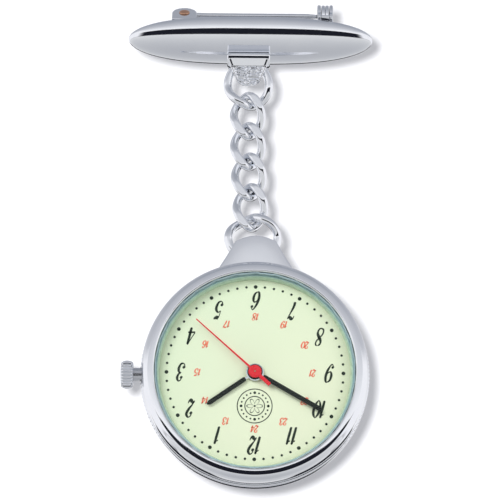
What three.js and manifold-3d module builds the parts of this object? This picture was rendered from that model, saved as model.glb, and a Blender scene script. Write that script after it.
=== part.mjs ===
// Fob watch: a brooch bar, a short curb chain and an upside-down quartz watch head.
// Millimetres, +Z up, the dial faces -Y. The origin is on the brooch pin's axis, in the
// bar's middle plane, and the watch hangs below it.
import * as THREE from 'three';
import { ParametricGeometry } from 'three/addons/geometries/ParametricGeometry.js';
import { mergeVertices } from 'three/addons/utils/BufferGeometryUtils.js';
import Module from 'manifold-3d';

const wasm = await Module();
wasm.setup();

const degree = Math.PI / 180;
const roundSteps = 30;
const smallSteps = 16;

// Brooch bar, in a frame turned about the pin's axis: -Y is the bar's front.
const barPitch = 42 * degree;
const barHalfLength = 19.8;
const barHalfHeight = 4.2;
const barDepth = 2.6;
const barMiddleZ = -2.6;
const barBackY = -3.4;
const barWall = 0.6;
const backPlate = 0.4;
const fitGap = 0.08;

const pinRadius = 0.45;
const rivetX = -10.8;
const rivetY = -0.95;
const pinTipX = 13.3;
const catchX = 12.1;
const earRadius = 2;
const earThickness = 0.4;
const eyeRadius = 1.4;
const eyeThickness = 0.9;
const rivetRadius = 0.45;
const catchRadius = 1.9;
const cheekThickness = 0.6;
const lockThickness = 1.2;
const slotHalfWidth = 0.62;

// Chain: a ring, four curb links and a wider ring, in the plane y = chainY.
const chainY = -2.4;
const wireRadius = 0.71;
const wireGap = 0.27;
const eyeZ = -8.98;
const endTwist = 45 * degree;
const topRing = { halfWidth: 3.33, halfHeight: 3.53, topTwist: 0, lowTwist: endTwist, ease: 2 };
const curbLink = { halfWidth: 2.22, halfHeight: 3.4, topTwist: endTwist, lowTwist: endTwist, ease: 1 };
const bottomRing = { halfWidth: 3.92, halfHeight: 3.35, topTwist: endTwist, lowTwist: 0, ease: 2 };
const groundHalfThickness = 1.25;
const linkCount = 4;

// Bail: a folded tapering strap that holds the top ring against the bar's front.
const bailTopHalfWidth = 3.45;
const bailTipHalfWidth = 1.2;
const bailTipZ = -12.7;
const bailWall = 0.45;
const ringRoom = 0.2;
const ringSwing = 18;

// Watch head, in its own frame: the dial's front is at y = 0 and +Y goes to the case back.
const caseRadius = 18.2;
const middleFront = 0.8;
const middleBack = 4.9;
const bandBack = 2.6;
const middleInner = 16.8;
const bezelRadius = 18.0;
const glassRadius = 15.7;
const glassFront = -2.35;
const glassBack = -1.35;
const dialRadius = 16.4;
const dialThickness = 0.4;
const backOuterY = 6.6;
const backFlatRadius = 14.2;
const eyeAboveDial = 19.3;
const eyeBehindDial = 2.25;
const hoodFront = 0.7;
const hoodBack = 1.3;
const hoodApex = 22.8;
const hookHalfWidth = 1.2;

// Crown, on the watch's 3 o'clock side, which is -X.
const stemY = 2.1;
const stemRadius = 0.4;
const tubeInner = 0.55;
const tubeOuter = 1.1;
const crownInnerX = -19.25;
const crownLength = 2.05;
const crownRadius = 2.25;
const crownFlutes = 24;
const crownBore = 1.5;
const crownBoreDepth = 1.45;
const stemLength = 11;

// Going train and motion work: places are (x, z) in the watch head's frame.
const plateRadius = 12.2;
const wheelThickness = 0.15;
const pivotRadius = 0.12;
const pivotHole = 0.2;
const thirdPlace = polar(3.3, 80);
const intermediatePlace = polar(2.2, 200);
const rotorPlace = polar(2.25, 215).add(intermediatePlace);
const minuteWheelPlace = polar(2.45, 150);
const batteryPlace = new THREE.Vector2(5.6, -4.9);
const batteryRadius = 3.4;
const screwPlaces = [new THREE.Vector2(-1.2, 7.4), new THREE.Vector2(3.9, 2.6)];
const handTurns = { hour: 55, minute: 300, second: 132 };

const finishes = {
  chrome: { color: 0xc4c6ca, roughness: 0.08, metalness: 1 },
  steel: { color: 0xa8abb0, roughness: 0.3, metalness: 1 },
  copper: { color: 0xb9805e, roughness: 0.35, metalness: 1 },
  brass: { color: 0xc2a057, roughness: 0.35, metalness: 1 },
  glass: { color: 0xdff0ee, roughness: 0.03, metalness: 0 },
  lume: { color: 0xe4f0d2, roughness: 0.6, metalness: 0 },
  black: { color: 0x101312, roughness: 0.35, metalness: 0 },
  red: { color: 0xe02818, roughness: 0.35, metalness: 0 },
  flange: { color: 0x9fc4b8, roughness: 0.25, metalness: 0.3 },
  plastic: { color: 0xdcdcd8, roughness: 0.5, metalness: 0 },
  board: { color: 0x1e5a36, roughness: 0.5, metalness: 0 },
  winding: { color: 0xa0522d, roughness: 0.4, metalness: 0.6 },
  seal: { color: 0x1c1c1e, roughness: 0.7, metalness: 0 },
};

function polar(radius, angle) {
  return new THREE.Vector2(radius * Math.cos(angle * degree), radius * Math.sin(angle * degree));
}

// Solids

function signedVolume(points, corners) {
  let sum = 0;
  for (let i = 0; i < corners.length; i += 3) {
    const [a, b, c] = [0, 1, 2].map((k) => new THREE.Vector3().fromArray(points, 3 * corners[i + k]));
    sum += a.dot(b.cross(c)) / 6;
  }
  return sum;
}

// A closed three.js geometry as a solid with its faces pointing out.
function solid(geometry) {
  const bare = geometry.clone();
  bare.deleteAttribute('normal');
  bare.deleteAttribute('uv');
  const merged = mergeVertices(bare, 1e-4);
  const points = merged.attributes.position.array;
  const all = merged.index.array;
  const corners = [];
  for (let i = 0; i < all.length; i += 3) {
    const [a, b, c] = [all[i], all[i + 1], all[i + 2]];
    if (a !== b && b !== c && c !== a) corners.push(a, b, c);
  }
  if (signedVolume(points, corners) < 0) corners.reverse();
  const mesh = new wasm.Mesh({
    numProp: 3,
    vertProperties: Float32Array.from(points),
    triVerts: Uint32Array.from(corners),
  });
  return new wasm.Manifold(mesh);
}

function joined(first, ...others) {
  return others.reduce((sum, other) => sum.add(other), first);
}

function cut(first, ...others) {
  return others.reduce((rest, other) => rest.subtract(other), first);
}

function geometryOf(body) {
  const made = body.getMesh();
  const geometry = new THREE.BufferGeometry();
  geometry.setAttribute('position', new THREE.BufferAttribute(made.vertProperties, 3));
  geometry.setIndex(new THREE.BufferAttribute(made.triVerts, 1));
  const loose = geometry.toNonIndexed();
  loose.computeVertexNormals();
  return loose;
}

function box(x0, x1, y0, y1, z0, z1) {
  const geometry = new THREE.BoxGeometry(x1 - x0, y1 - y0, z1 - z0);
  geometry.translate((x0 + x1) / 2, (y0 + y1) / 2, (z0 + z1) / 2);
  return solid(geometry);
}

// A profile of [radius, y] points turned about the watch's axis.
function turned(profile, steps = roundSteps) {
  const points = profile.map(([radius, y]) => new THREE.Vector2(radius, y));
  return solid(new THREE.LatheGeometry(points, steps));
}

function ringOf(inner, outer, y0, y1, steps = roundSteps) {
  return turned([[inner, y0], [outer, y0], [outer, y1], [inner, y1], [inner, y0]], steps);
}

function discOf(radius, y0, y1, steps = smallSteps) {
  return turned([[0, y0], [radius, y0], [radius, y1], [0, y1]], steps);
}

// A flat outline in x and z, standing from y0 back to y1.
function plate(shape, y0, y1, steps = 10) {
  const geometry = new THREE.ExtrudeGeometry(shape, {
    depth: y1 - y0, bevelEnabled: false, curveSegments: steps,
  });
  geometry.rotateX(90 * degree);
  geometry.translate(0, y1, 0);
  return solid(geometry);
}

function at(body, place) {
  return body.translate([place.x, 0, place.y]);
}

// A rod along X between two stations.
function rod(radius, x0, x1, y = 0, z = 0, steps = smallSteps) {
  const geometry = new THREE.CylinderGeometry(radius, radius, x1 - x0, steps);
  geometry.rotateZ(90 * degree);
  geometry.translate((x0 + x1) / 2, y, z);
  return solid(geometry);
}

// Sizes that several pieces share

function barHeightAt(x, halfLength, halfHeight) {
  return halfHeight * Math.sqrt(Math.max(0, 1 - Math.abs(x / halfLength) ** 2.7));
}

// The bar's form: a half-ellipse section shrinking to a blunt nose at each end. Its back is
// flat, or swells by backSwell.
function barForm(halfLength, halfHeight, depth, backSwell, around = 14, along = 22) {
  const section = (u, v, target) => {
    const x = -halfLength * Math.cos(Math.PI * v);
    const height = barHeightAt(x, halfLength, halfHeight);
    const front = u <= 0.75;
    const sweep = front ? (u / 0.75) * Math.PI : Math.PI * (1 - (u - 0.75) / 0.25);
    const z = height * Math.cos(sweep);
    const reach = (front ? -depth : backSwell) * Math.sin(sweep) * Math.pow(height / halfHeight, 1.15);
    target.set(x, barBackY - backPlate + reach, z + barMiddleZ);
  };
  return solid(new ParametricGeometry(section, around, along));
}

function barOutline(inset) {
  const halfLength = barHalfLength - inset;
  const upper = [];
  for (let i = 0; i <= 20; i += 1) {
    const x = -halfLength * Math.cos((Math.PI * i) / 20);
    upper.push(new THREE.Vector2(x, barHeightAt(x, halfLength, barHalfHeight - inset)));
  }
  const lower = upper.slice(1, -1).reverse().map((p) => new THREE.Vector2(p.x, -p.y));
  return new THREE.Shape([...upper, ...lower]);
}

class WireLoop extends THREE.Curve {
  constructor(loop) {
    super();
    this.loop = loop;
  }

  // An oval in x and z whose top end is turned one way about z and its low end the other.
  getPoint(t, target = new THREE.Vector3()) {
    const { halfWidth, halfHeight, topTwist, lowTwist, ease } = this.loop;
    const x = halfWidth * Math.cos(2 * Math.PI * t);
    const rise = Math.sin(2 * Math.PI * t);
    const turn = rise > 0 ? -topTwist * rise ** ease : lowTwist * (-rise) ** ease;
    return target.set(x * Math.cos(turn), x * Math.sin(turn), halfHeight * rise);
  }
}

function wireRing(loop, radius, steps = 24, sides = 8) {
  return solid(new THREE.TubeGeometry(new WireLoop(loop), steps, radius, sides, true));
}

function star(teeth, tip, root) {
  const points = [];
  for (let i = 0; i < 2 * teeth; i += 1) points.push(polar(i % 2 ? root : tip, (180 * i) / teeth));
  return new THREE.Shape(points);
}

function wheel(teeth, tip, y, thickness = wheelThickness) {
  return plate(star(teeth, tip, tip - 0.14), y, y + thickness);
}

// Brooch bar pieces

function barShell() {
  const outside = barForm(barHalfLength, barHalfHeight, barDepth, 0);
  return cut(outside, barForm(barHalfLength - 1, barHalfHeight - barWall, barDepth - barWall, 1));
}

function barBackPlate() {
  const shape = barOutline(0.35);
  return plate(shape, barBackY - backPlate + fitGap, barBackY).translate([0, 0, barMiddleZ]);
}

function earOutline(halfWidth, footY) {
  const shape = new THREE.Shape();
  shape.moveTo(-halfWidth, footY);
  shape.lineTo(halfWidth, footY);
  shape.lineTo(halfWidth, 0);
  shape.absarc(0, 0, halfWidth, 0, Math.PI, false);
  shape.lineTo(-halfWidth, footY);
  return shape;
}

// Two ears on a foot, bored for the rivet.
function pinBracket() {
  const foot = barBackY + fitGap - rivetY;
  const inner = eyeThickness / 2 + fitGap;
  const ear = solid(new THREE.ExtrudeGeometry(earOutline(earRadius, foot), {
    depth: earThickness, bevelEnabled: false, curveSegments: 10,
  }));
  const base = box(-earRadius, earRadius, foot, foot + 0.45, -inner - 0.01, inner + 0.01);
  const bore = solid(new THREE.CylinderGeometry(rivetRadius + 0.05, rivetRadius + 0.05, 4, 12)
    .rotateX(90 * degree));
  const ears = joined(base, ear.translate([0, 0, inner]), ear.translate([0, 0, -inner - earThickness]));
  return cut(ears, bore).translate([rivetX, rivetY, 0]);
}

// A shank between two low domed heads.
function hingeRivet() {
  const half = eyeThickness / 2 + fitGap + earThickness + 0.05;
  const profile = [
    [0, -half - 0.3], [0.5, -half - 0.25], [0.85, -half], [rivetRadius, -half],
    [rivetRadius, half], [0.85, half], [0.5, half + 0.25], [0, half + 0.3],
  ];
  return turned(profile, 12).rotate([90, 0, 0]).translate([rivetX, rivetY, 0]);
}

// The wire leaves its eye at the side away from the bar, on the frame's X axis.
function broochPin() {
  const eye = ringOf(rivetRadius + 0.06, eyeRadius, -eyeThickness / 2, eyeThickness / 2, 16)
    .rotate([90, 0, 0]).translate([rivetX, rivetY, 0]);
  const shank = rod(pinRadius, rivetX, pinTipX - 3, 0, 0, 10);
  const point = solid(new THREE.CylinderGeometry(0.06, pinRadius, 3, 10)
    .rotateZ(-90 * degree).translate(pinTipX - 1.5 - 0.01, 0, 0));
  return joined(eye, shank, point);
}

// A disc across X, bored for the pin and slotted open to the back.
function slottedDisc(radius, x0, x1, bore) {
  const disc = rod(radius, x0, x1, 0, 0, 20);
  const slot = box(x0 - 1, x1 + 1, 0, radius + 1, -slotHalfWidth, slotHalfWidth);
  return cut(disc, rod(bore, x0 - 1, x1 + 1, 0, 0, 12), slot);
}

function catchBracket() {
  const foot = barBackY + fitGap;
  const inner = lockThickness / 2 + fitGap;
  const cheek = joined(
    slottedDisc(catchRadius, inner, inner + cheekThickness, slotHalfWidth),
    box(inner, inner + cheekThickness, foot, -slotHalfWidth, -1.6, 1.6),
  );
  const base = box(-inner - 0.01, inner + 0.01, foot, foot + 0.45, -1.6, 1.6);
  return joined(base, cheek, cheek.mirror([1, 0, 0])).translate([catchX, 0, 0]);
}

function catchLock() {
  const half = lockThickness / 2;
  const disc = slottedDisc(catchRadius - 0.05, -half, half, slotHalfWidth);
  const tab = box(-half, half, 1.3, 2.9, -0.35, 0.35).rotate([-55, 0, 0]);
  return joined(disc, tab).translate([catchX, 0, 0]);
}

// Chain pieces, each about its own middle

function chainPieces() {
  const pieces = [];
  let z = eyeZ;
  const add = (name, loop, body) => {
    z -= loop.halfHeight;
    pieces.push({ name, body, z, x: sway(pieces.length) });
    z += -loop.halfHeight + 2 * wireRadius + wireGap;
  };
  add('top_ring', topRing, wireRing(topRing, wireRadius));
  const reach = 6;
  const ground = box(-reach, reach, -groundHalfThickness, groundHalfThickness, -reach, reach);
  for (let i = 1; i <= linkCount; i += 1) {
    add(`curb_link_${i}`, curbLink, wireRing(curbLink, wireRadius).intersect(ground));
  }
  add('bottom_ring', bottomRing, wireRing(bottomRing, wireRadius));
  return pieces;
}

// The chain's slight bow to one side, from the top ring (0) to the watch head (6).
function sway(step) {
  return -0.3 - 0.1 * step + 0.057 * step * step;
}

// The strap's side view is an eye with a tail below it; its front view tapers to the tip.
function barBail(ring) {
  const eye = wireRadius + ringRoom + bailWall;
  const front = chainY - eye;
  const side = new THREE.Shape();
  side.moveTo(chainY + 1.9, eyeZ - 0.3);
  side.lineTo(chainY + 4.3, eyeZ + 0.6);
  side.lineTo(chainY + 4.1, eyeZ + 1.5);
  side.lineTo(chainY, eyeZ + eye);
  side.absarc(chainY, eyeZ, eye, Math.PI / 2, Math.PI, false);
  side.lineTo(front + 0.15, bailTipZ + 1.3);
  side.absarc(front + 0.85, bailTipZ + 0.7, 0.7, Math.PI, 2 * Math.PI, false);
  side.lineTo(front + 1.6, eyeZ - 2.4);
  side.lineTo(chainY + 0.9, eyeZ - eye);
  const tooWide = 5;
  const strap = solid(new THREE.ExtrudeGeometry(side, {
    depth: 2 * tooWide, bevelEnabled: false, curveSegments: 8,
  }).rotateY(90 * degree).rotateX(90 * degree).translate(-tooWide, 0, 0));
  const topZ = eyeZ + eye + 0.2;
  const taper = new THREE.Shape([
    new THREE.Vector2(-bailTopHalfWidth, topZ), new THREE.Vector2(-bailTopHalfWidth, topZ - 1.6),
    new THREE.Vector2(-bailTipHalfWidth, bailTipZ - 0.2), new THREE.Vector2(bailTipHalfWidth, bailTipZ - 0.2),
    new THREE.Vector2(bailTopHalfWidth, topZ - 1.6), new THREE.Vector2(bailTopHalfWidth, topZ),
  ]);
  const outline = plate(taper, chainY - 4, chainY + 4);
  const room = wireRing(topRing, wireRadius + ringRoom, 20, 8).translate([0, 0, -topRing.halfHeight]);
  const swept = [-ringSwing, 0, ringSwing]
    .map((swing) => room.rotate([swing, 0, 0]).translate([0, chainY, eyeZ]));
  const bar = barForm(barHalfLength + 0.1, barHalfHeight + 0.1, barDepth + 0.1, 2)
    .rotate([barPitch / degree, 0, 0]);
  return cut(strap.intersect(outline), bar, ...swept).translate([ring.x, 0, 0]);
}

// Watch case pieces

function caseMiddle() {
  const ring = turned([
    [middleInner, middleFront], [17.5, middleFront], [17.55, 1.15], [18.05, 1.25], [caseRadius, 1.5],
    [caseRadius, bandBack], [18.1, 2.9], [17.75, 4.3], [17.5, 4.5], [17.4, middleBack],
    [middleInner, middleBack], [middleInner, middleFront],
  ]);
  return cut(ring, rod(tubeOuter + 0.04, -20, -16, stemY, 0));
}

function bezel() {
  return turned([
    [15.95, -2.3], [16.15, -2.45], [16.5, -2.46], [17.1, -2.2], [17.6, -1.65], [17.9, -0.95],
    [bezelRadius, -0.2], [17.95, 0.4], [17.7, 0.72], [16.7, 0.72], [16.7, -0.12], [15.95, -0.12],
    [15.95, -2.3],
  ]);
}

function caseLug() {
  const outline = new THREE.Shape();
  outline.moveTo(-6.3, 16.6);
  outline.quadraticCurveTo(-4.6, 19.4, -3.3, 21.75);
  outline.quadraticCurveTo(0, hoodApex + 0.85, 3.3, 21.75);
  outline.quadraticCurveTo(4.6, 19.4, 6.3, 16.6);
  outline.lineTo(-6.3, 16.6);
  const front = plate(outline, hoodFront, hoodBack, 6);
  const hookTop = eyeAboveDial + 1.9;
  const hookUnder = eyeAboveDial + 1.08;
  const farSide = eyeBehindDial + 1.75;
  const bridge = box(-hookHalfWidth, hookHalfWidth, hoodBack - 0.1, farSide, hookUnder, hookTop);
  const back = box(-hookHalfWidth - 0.8, hookHalfWidth + 0.8, farSide - 0.75, farSide, 17, hookTop);
  const seat = turned([
    [0, -3], [caseRadius + 0.06, -3], [caseRadius + 0.06, bandBack], [17.81, 4.3], [17.7, 5], [0, 5],
  ], 72);
  return cut(joined(front, bridge, back), seat);
}

function caseBack() {
  return turned([
    [0, 5.75], [15.6, 5.75], [15.9, 4.3], [16.7, 4.3], [16.7, 5.2], [17.5, 5.2], [17.6, 5.35],
    [17.5, 5.65], [16.9, 6.05], [15.6, 6.35], [backFlatRadius + 0.5, backOuterY - 0.05],
    [backFlatRadius, backOuterY], [0, backOuterY],
  ]);
}

// Hands: the boss is at the dial's centre and the blade points along +X until it is turned.
function hand(y, thickness, bossRadius, hole, blade) {
  const boss = ringOf(hole, bossRadius, y, y + thickness, 20);
  const arm = plate(new THREE.Shape(blade), y, y + thickness);
  return joined(boss, cut(arm, discOf((hole + bossRadius) / 2, y - 1, y + 1, 16)));
}

function baton(start, end, halfWidth, point) {
  return [
    new THREE.Vector2(start, -halfWidth), new THREE.Vector2(end - point, -halfWidth),
    new THREE.Vector2(end, -halfWidth * 0.3), new THREE.Vector2(end, halfWidth * 0.3),
    new THREE.Vector2(end - point, halfWidth), new THREE.Vector2(start, halfWidth),
  ];
}

// Twelve is at -Z because the watch hangs upside down; hands turn clockwise seen from the front.
function turnedFromTwelve(body, angle) {
  return body.rotate([0, 90 + angle, 0]);
}

function hourHand() {
  const made = hand(-0.5, 0.14, 1.4, 0.62, baton(0.9, 9.2, 0.375, 0.5));
  return turnedFromTwelve(made, handTurns.hour);
}

function minuteHand() {
  const made = hand(-0.78, 0.14, 1.1, 0.36, baton(0.7, 12.3, 0.375, 0.5));
  return turnedFromTwelve(made, handTurns.minute);
}

function secondHand() {
  const needle = [
    new THREE.Vector2(-3.2, -0.3), new THREE.Vector2(-0.8, -0.3), new THREE.Vector2(0.8, -0.16),
    new THREE.Vector2(12.7, -0.08), new THREE.Vector2(12.7, 0.08), new THREE.Vector2(0.8, 0.16),
    new THREE.Vector2(-0.8, 0.3), new THREE.Vector2(-3.2, 0.3),
  ];
  const made = joined(discOf(1.05, -1.06, -0.95, 20), plate(new THREE.Shape(needle), -1.06, -0.95));
  return turnedFromTwelve(made, handTurns.second);
}

// Movement pieces

function arbor(y0, y1) {
  return discOf(pivotRadius, y0, y1, 8);
}

function secondsWheel() {
  return joined(
    discOf(0.15, -0.93, 2.05, 8), wheel(30, 1.78, 2.05), wheel(6, 0.38, 2.19, 0.55), arbor(2.7, 3.6),
  );
}

function centreWheel() {
  return cut(joined(wheel(48, 2.88, 1.72), discOf(0.5, 1.66, 1.95, 12)), discOf(0.22, 1, 3, 12));
}

function thirdWheel() {
  const made = joined(wheel(6, 0.36, 1.68, 0.3), discOf(0.24, 1.9, 2.5, 8), wheel(45, 2.86, 2.48));
  return at(joined(made, arbor(1.2, 1.7), arbor(2.6, 3.6)), thirdPlace);
}

function intermediateWheel() {
  const made = joined(wheel(6, 0.36, 1.98, 0.32), wheel(36, 1.88, 2.27, 0.12), arbor(2.3, 3.6));
  return at(made, intermediatePlace);
}

function rotor() {
  const made = joined(wheel(6, 0.32, 2.2, 0.3), discOf(0.8, 2.48, 3.1, 16));
  return at(joined(made, arbor(1.2, 2.25), arbor(3.05, 3.6)), rotorPlace);
}

function cannonPinion() {
  return cut(joined(discOf(0.34, -0.6, 1.6, 12), wheel(8, 0.58, 0.74, 0.22)), discOf(0.22, -2, 3, 12));
}

function minuteWheel() {
  const made = joined(wheel(24, 1.8, 0.76), wheel(6, 0.46, 0.5, 0.3), arbor(0.48, 1.5));
  return at(made, minuteWheelPlace);
}

function hourWheel() {
  return cut(joined(discOf(0.58, -0.36, 0.66, 16), wheel(24, 1.92, 0.52, 0.14)), discOf(0.42, -2, 3, 12));
}

function mainPlate() {
  const holes = [thirdPlace, rotorPlace, minuteWheelPlace]
    .map((place) => at(discOf(pivotHole, 0, 3, 8), place));
  return cut(discOf(plateRadius, 1.05, 1.6, 32), discOf(0.5, 0, 3, 12), ...holes);
}

function trainBridge() {
  const shape = new THREE.Shape();
  shape.moveTo(-5.6, -3.4);
  shape.lineTo(1.2, -3.4);
  shape.lineTo(5.2, 1.4);
  shape.lineTo(4.6, 4);
  shape.lineTo(0.4, 8.8);
  shape.lineTo(-2.6, 8.6);
  shape.lineTo(-5.6, 2.4);
  const holes = [new THREE.Vector2(), thirdPlace, intermediatePlace, rotorPlace]
    .map((place) => at(discOf(pivotHole, 2, 5, 8), place));
  const screws = screwPlaces.map((place) => at(discOf(0.36, 2, 5, 10), place));
  return cut(plate(shape, 3.3, 3.7), ...holes, ...screws);
}

function stator() {
  const shape = new THREE.Shape();
  const { x, y } = rotorPlace;
  shape.moveTo(-8.5, y + 1.5);
  shape.lineTo(x + 1.7, y + 1.5);
  shape.lineTo(x + 1.7, y - 1.5);
  shape.lineTo(1.4, -4.6);
  shape.lineTo(1.4, -8.1);
  shape.lineTo(0, -8.1);
  shape.lineTo(0, -5.3);
  shape.lineTo(x - 1.2, y - 2.2);
  shape.lineTo(-7.1, y - 1.2);
  shape.lineTo(-7.1, -8.1);
  shape.lineTo(-8.5, -8.1);
  return cut(plate(shape, 2.55, 2.85), at(discOf(1, 2, 3.5, 20), rotorPlace));
}

const coilPlace = { from: -8.4, to: 1.3, z: -7.5, y: 1.98 };

function coilCore() {
  const { from, to, z, y } = coilPlace;
  return box(from, to, y + 0.02, y + 0.48, z - 0.45, z + 0.45);
}

function coilWinding() {
  const { from, to, z, y } = coilPlace;
  const body = rod(0.95, from + 1.8, to - 1.8, y + 0.68, z, 14);
  return cut(body, box(from, to, y - 1, y + 0.56, z - 0.53, z + 0.53));
}

function circuitBoard() {
  const shape = new THREE.Shape();
  shape.absarc(0, 0, 11.2, 100 * degree, 205 * degree, false);
  shape.lineTo(-6.4, -2.6);
  shape.lineTo(-6.4, 3.2);
  shape.lineTo(-3.2, 9.2);
  return plate(shape, 3.3, 3.55);
}

function batteryCell() {
  return at(turned([
    [0, 1.68], [2.6, 1.68], [2.75, 1.95], [batteryRadius, 2.05], [batteryRadius, 4.15],
    [batteryRadius - 0.15, 4.3], [0, 4.3],
  ], 32), batteryPlace);
}

function batteryClip() {
  const shape = new THREE.Shape([
    new THREE.Vector2(-4.1, -0.7), new THREE.Vector2(4.1, -0.7),
    new THREE.Vector2(4.1, 0.7), new THREE.Vector2(-4.1, 0.7),
  ]);
  const strip = plate(shape, 4.38, 4.6);
  const legs = [-4.1, 3.8].map((x) => box(x, x + 0.3, 1.7, 4.5, -0.7, 0.7));
  return at(joined(strip, ...legs).rotate([0, -45, 0]), batteryPlace);
}

function bridgeScrew(place) {
  const body = joined(discOf(0.6, 3.75, 4.1, 14), discOf(0.3, 1.68, 3.8, 10));
  return at(cut(body, box(-1, 1, 3.95, 5, -0.1, 0.1)), place);
}

function movementHolder() {
  const ring = turned([
    [12.35, 0.55], [16.5, 0.55], [16.5, 3.9], [12.35, 3.9], [12.35, 0.55],
  ]);
  return cut(ring, box(-18, -11, stemY - 0.7, 5, -0.7, 0.7));
}

function alongStem(body) {
  return body.rotate([0, 0, -90]).translate([crownInnerX, stemY, 0]);
}

function crown() {
  const knurl = star(crownFlutes, crownRadius, crownRadius - 0.22);
  const fluted = plate(knurl, -crownLength, 0);
  const chamfers = turned([
    [0, -crownLength], [crownRadius - 0.45, -crownLength], [crownRadius, -crownLength + 0.4],
    [crownRadius, -0.4], [crownRadius - 0.4, 0], [0, 0],
  ], 24);
  return alongStem(cut(fluted.intersect(chamfers), discOf(crownBore, -crownBoreDepth, 1, 20)));
}

function stem() {
  return alongStem(discOf(stemRadius, -crownBoreDepth + fitGap, stemLength, 12));
}

function crownTube() {
  return cut(rod(tubeOuter, -20.4, -16.9, stemY), rod(tubeInner, -21, -16, stemY, 0, 14));
}

function crownSeal() {
  return cut(rod(1.42, -19.85, -19.35, stemY, 0, 16), rod(1.14, -21, -18, stemY, 0, 16));
}

// Assembly

const watch = new THREE.Group();
const barFrame = new THREE.Group();
barFrame.rotation.x = barPitch;
const headFrame = new THREE.Group();
watch.add(barFrame, headFrame);

function put(group, name, body, finish) {
  const mesh = new THREE.Mesh(geometryOf(body), new THREE.MeshStandardMaterial(finishes[finish]));
  mesh.name = name;
  group.add(mesh);
  return mesh;
}

put(barFrame, 'bar_shell', barShell(), 'chrome');
put(barFrame, 'bar_back_plate', barBackPlate(), 'chrome');
put(barFrame, 'pin_bracket', pinBracket(), 'chrome');
put(barFrame, 'hinge_rivet', hingeRivet(), 'copper');
put(barFrame, 'brooch_pin', broochPin(), 'steel');
put(barFrame, 'catch_bracket', catchBracket(), 'chrome');
put(barFrame, 'catch_lock', catchLock(), 'chrome');

const chain = chainPieces();
put(watch, 'bar_bail', barBail(chain[0]), 'chrome');
for (const { name, body, x, z } of chain) {
  put(watch, name, body, 'chrome').position.set(x, chainY, z);
}
const lowest = chain[chain.length - 1];
const eyeInHead = lowest.z - bottomRing.halfHeight;
headFrame.position.set(sway(chain.length), chainY - eyeBehindDial, eyeInHead - eyeAboveDial);

put(headFrame, 'case_lug', caseLug(), 'chrome');
put(headFrame, 'case_middle', caseMiddle(), 'chrome');
put(headFrame, 'bezel', bezel(), 'chrome');
put(headFrame, 'crystal', turned([
  [0, glassFront], [glassRadius - 0.2, glassFront], [glassRadius, glassFront + 0.15],
  [glassRadius, glassBack], [0, glassBack],
]), 'glass');
put(headFrame, 'crystal_gasket', ringOf(glassRadius + 0.04, 15.91, -2.1, glassBack), 'seal');
put(headFrame, 'dial_flange', turned([
  [15.1, -0.06], [15.45, -1.28], [15.9, -1.28], [15.9, -0.06], [15.1, -0.06],
]), 'flange');
put(headFrame, 'dial', ringOf(0.75, dialRadius, 0, dialThickness), 'lume');
put(headFrame, 'hour_hand', hourHand(), 'black');
put(headFrame, 'minute_hand', minuteHand(), 'black');
put(headFrame, 'second_hand', secondHand(), 'red');
put(headFrame, 'movement_holder', movementHolder(), 'plastic');
put(headFrame, 'main_plate', mainPlate(), 'brass');
put(headFrame, 'cannon_pinion', cannonPinion(), 'steel');
put(headFrame, 'hour_wheel', hourWheel(), 'brass');
put(headFrame, 'minute_wheel', minuteWheel(), 'brass');
put(headFrame, 'centre_wheel', centreWheel(), 'brass');
put(headFrame, 'third_wheel', thirdWheel(), 'brass');
put(headFrame, 'seconds_wheel', secondsWheel(), 'brass');
put(headFrame, 'intermediate_wheel', intermediateWheel(), 'plastic');
put(headFrame, 'rotor', rotor(), 'steel');
put(headFrame, 'train_bridge', trainBridge(), 'brass');
put(headFrame, 'stator', stator(), 'steel');
put(headFrame, 'coil_core', coilCore(), 'steel');
put(headFrame, 'coil_winding', coilWinding(), 'winding');
put(headFrame, 'circuit_board', circuitBoard(), 'board');
put(headFrame, 'quartz_can', rod(0.75, -9, -3.6, 2.5, 7.3, 12), 'steel');
put(headFrame, 'battery', batteryCell(), 'steel');
put(headFrame, 'battery_clip', batteryClip(), 'steel');
screwPlaces.forEach((place, i) => put(headFrame, `bridge_screw_${i + 1}`, bridgeScrew(place), 'steel'));
put(headFrame, 'crown_tube', crownTube(), 'steel');
put(headFrame, 'crown_seal', crownSeal(), 'seal');
put(headFrame, 'crown', crown(), 'chrome');
put(headFrame, 'stem', stem(), 'steel');
put(headFrame, 'case_back', caseBack(), 'steel');
put(headFrame, 'back_gasket', ringOf(16.8, 17.35, 4.94, 5.16), 'seal');

export default watch;
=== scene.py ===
import math

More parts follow.
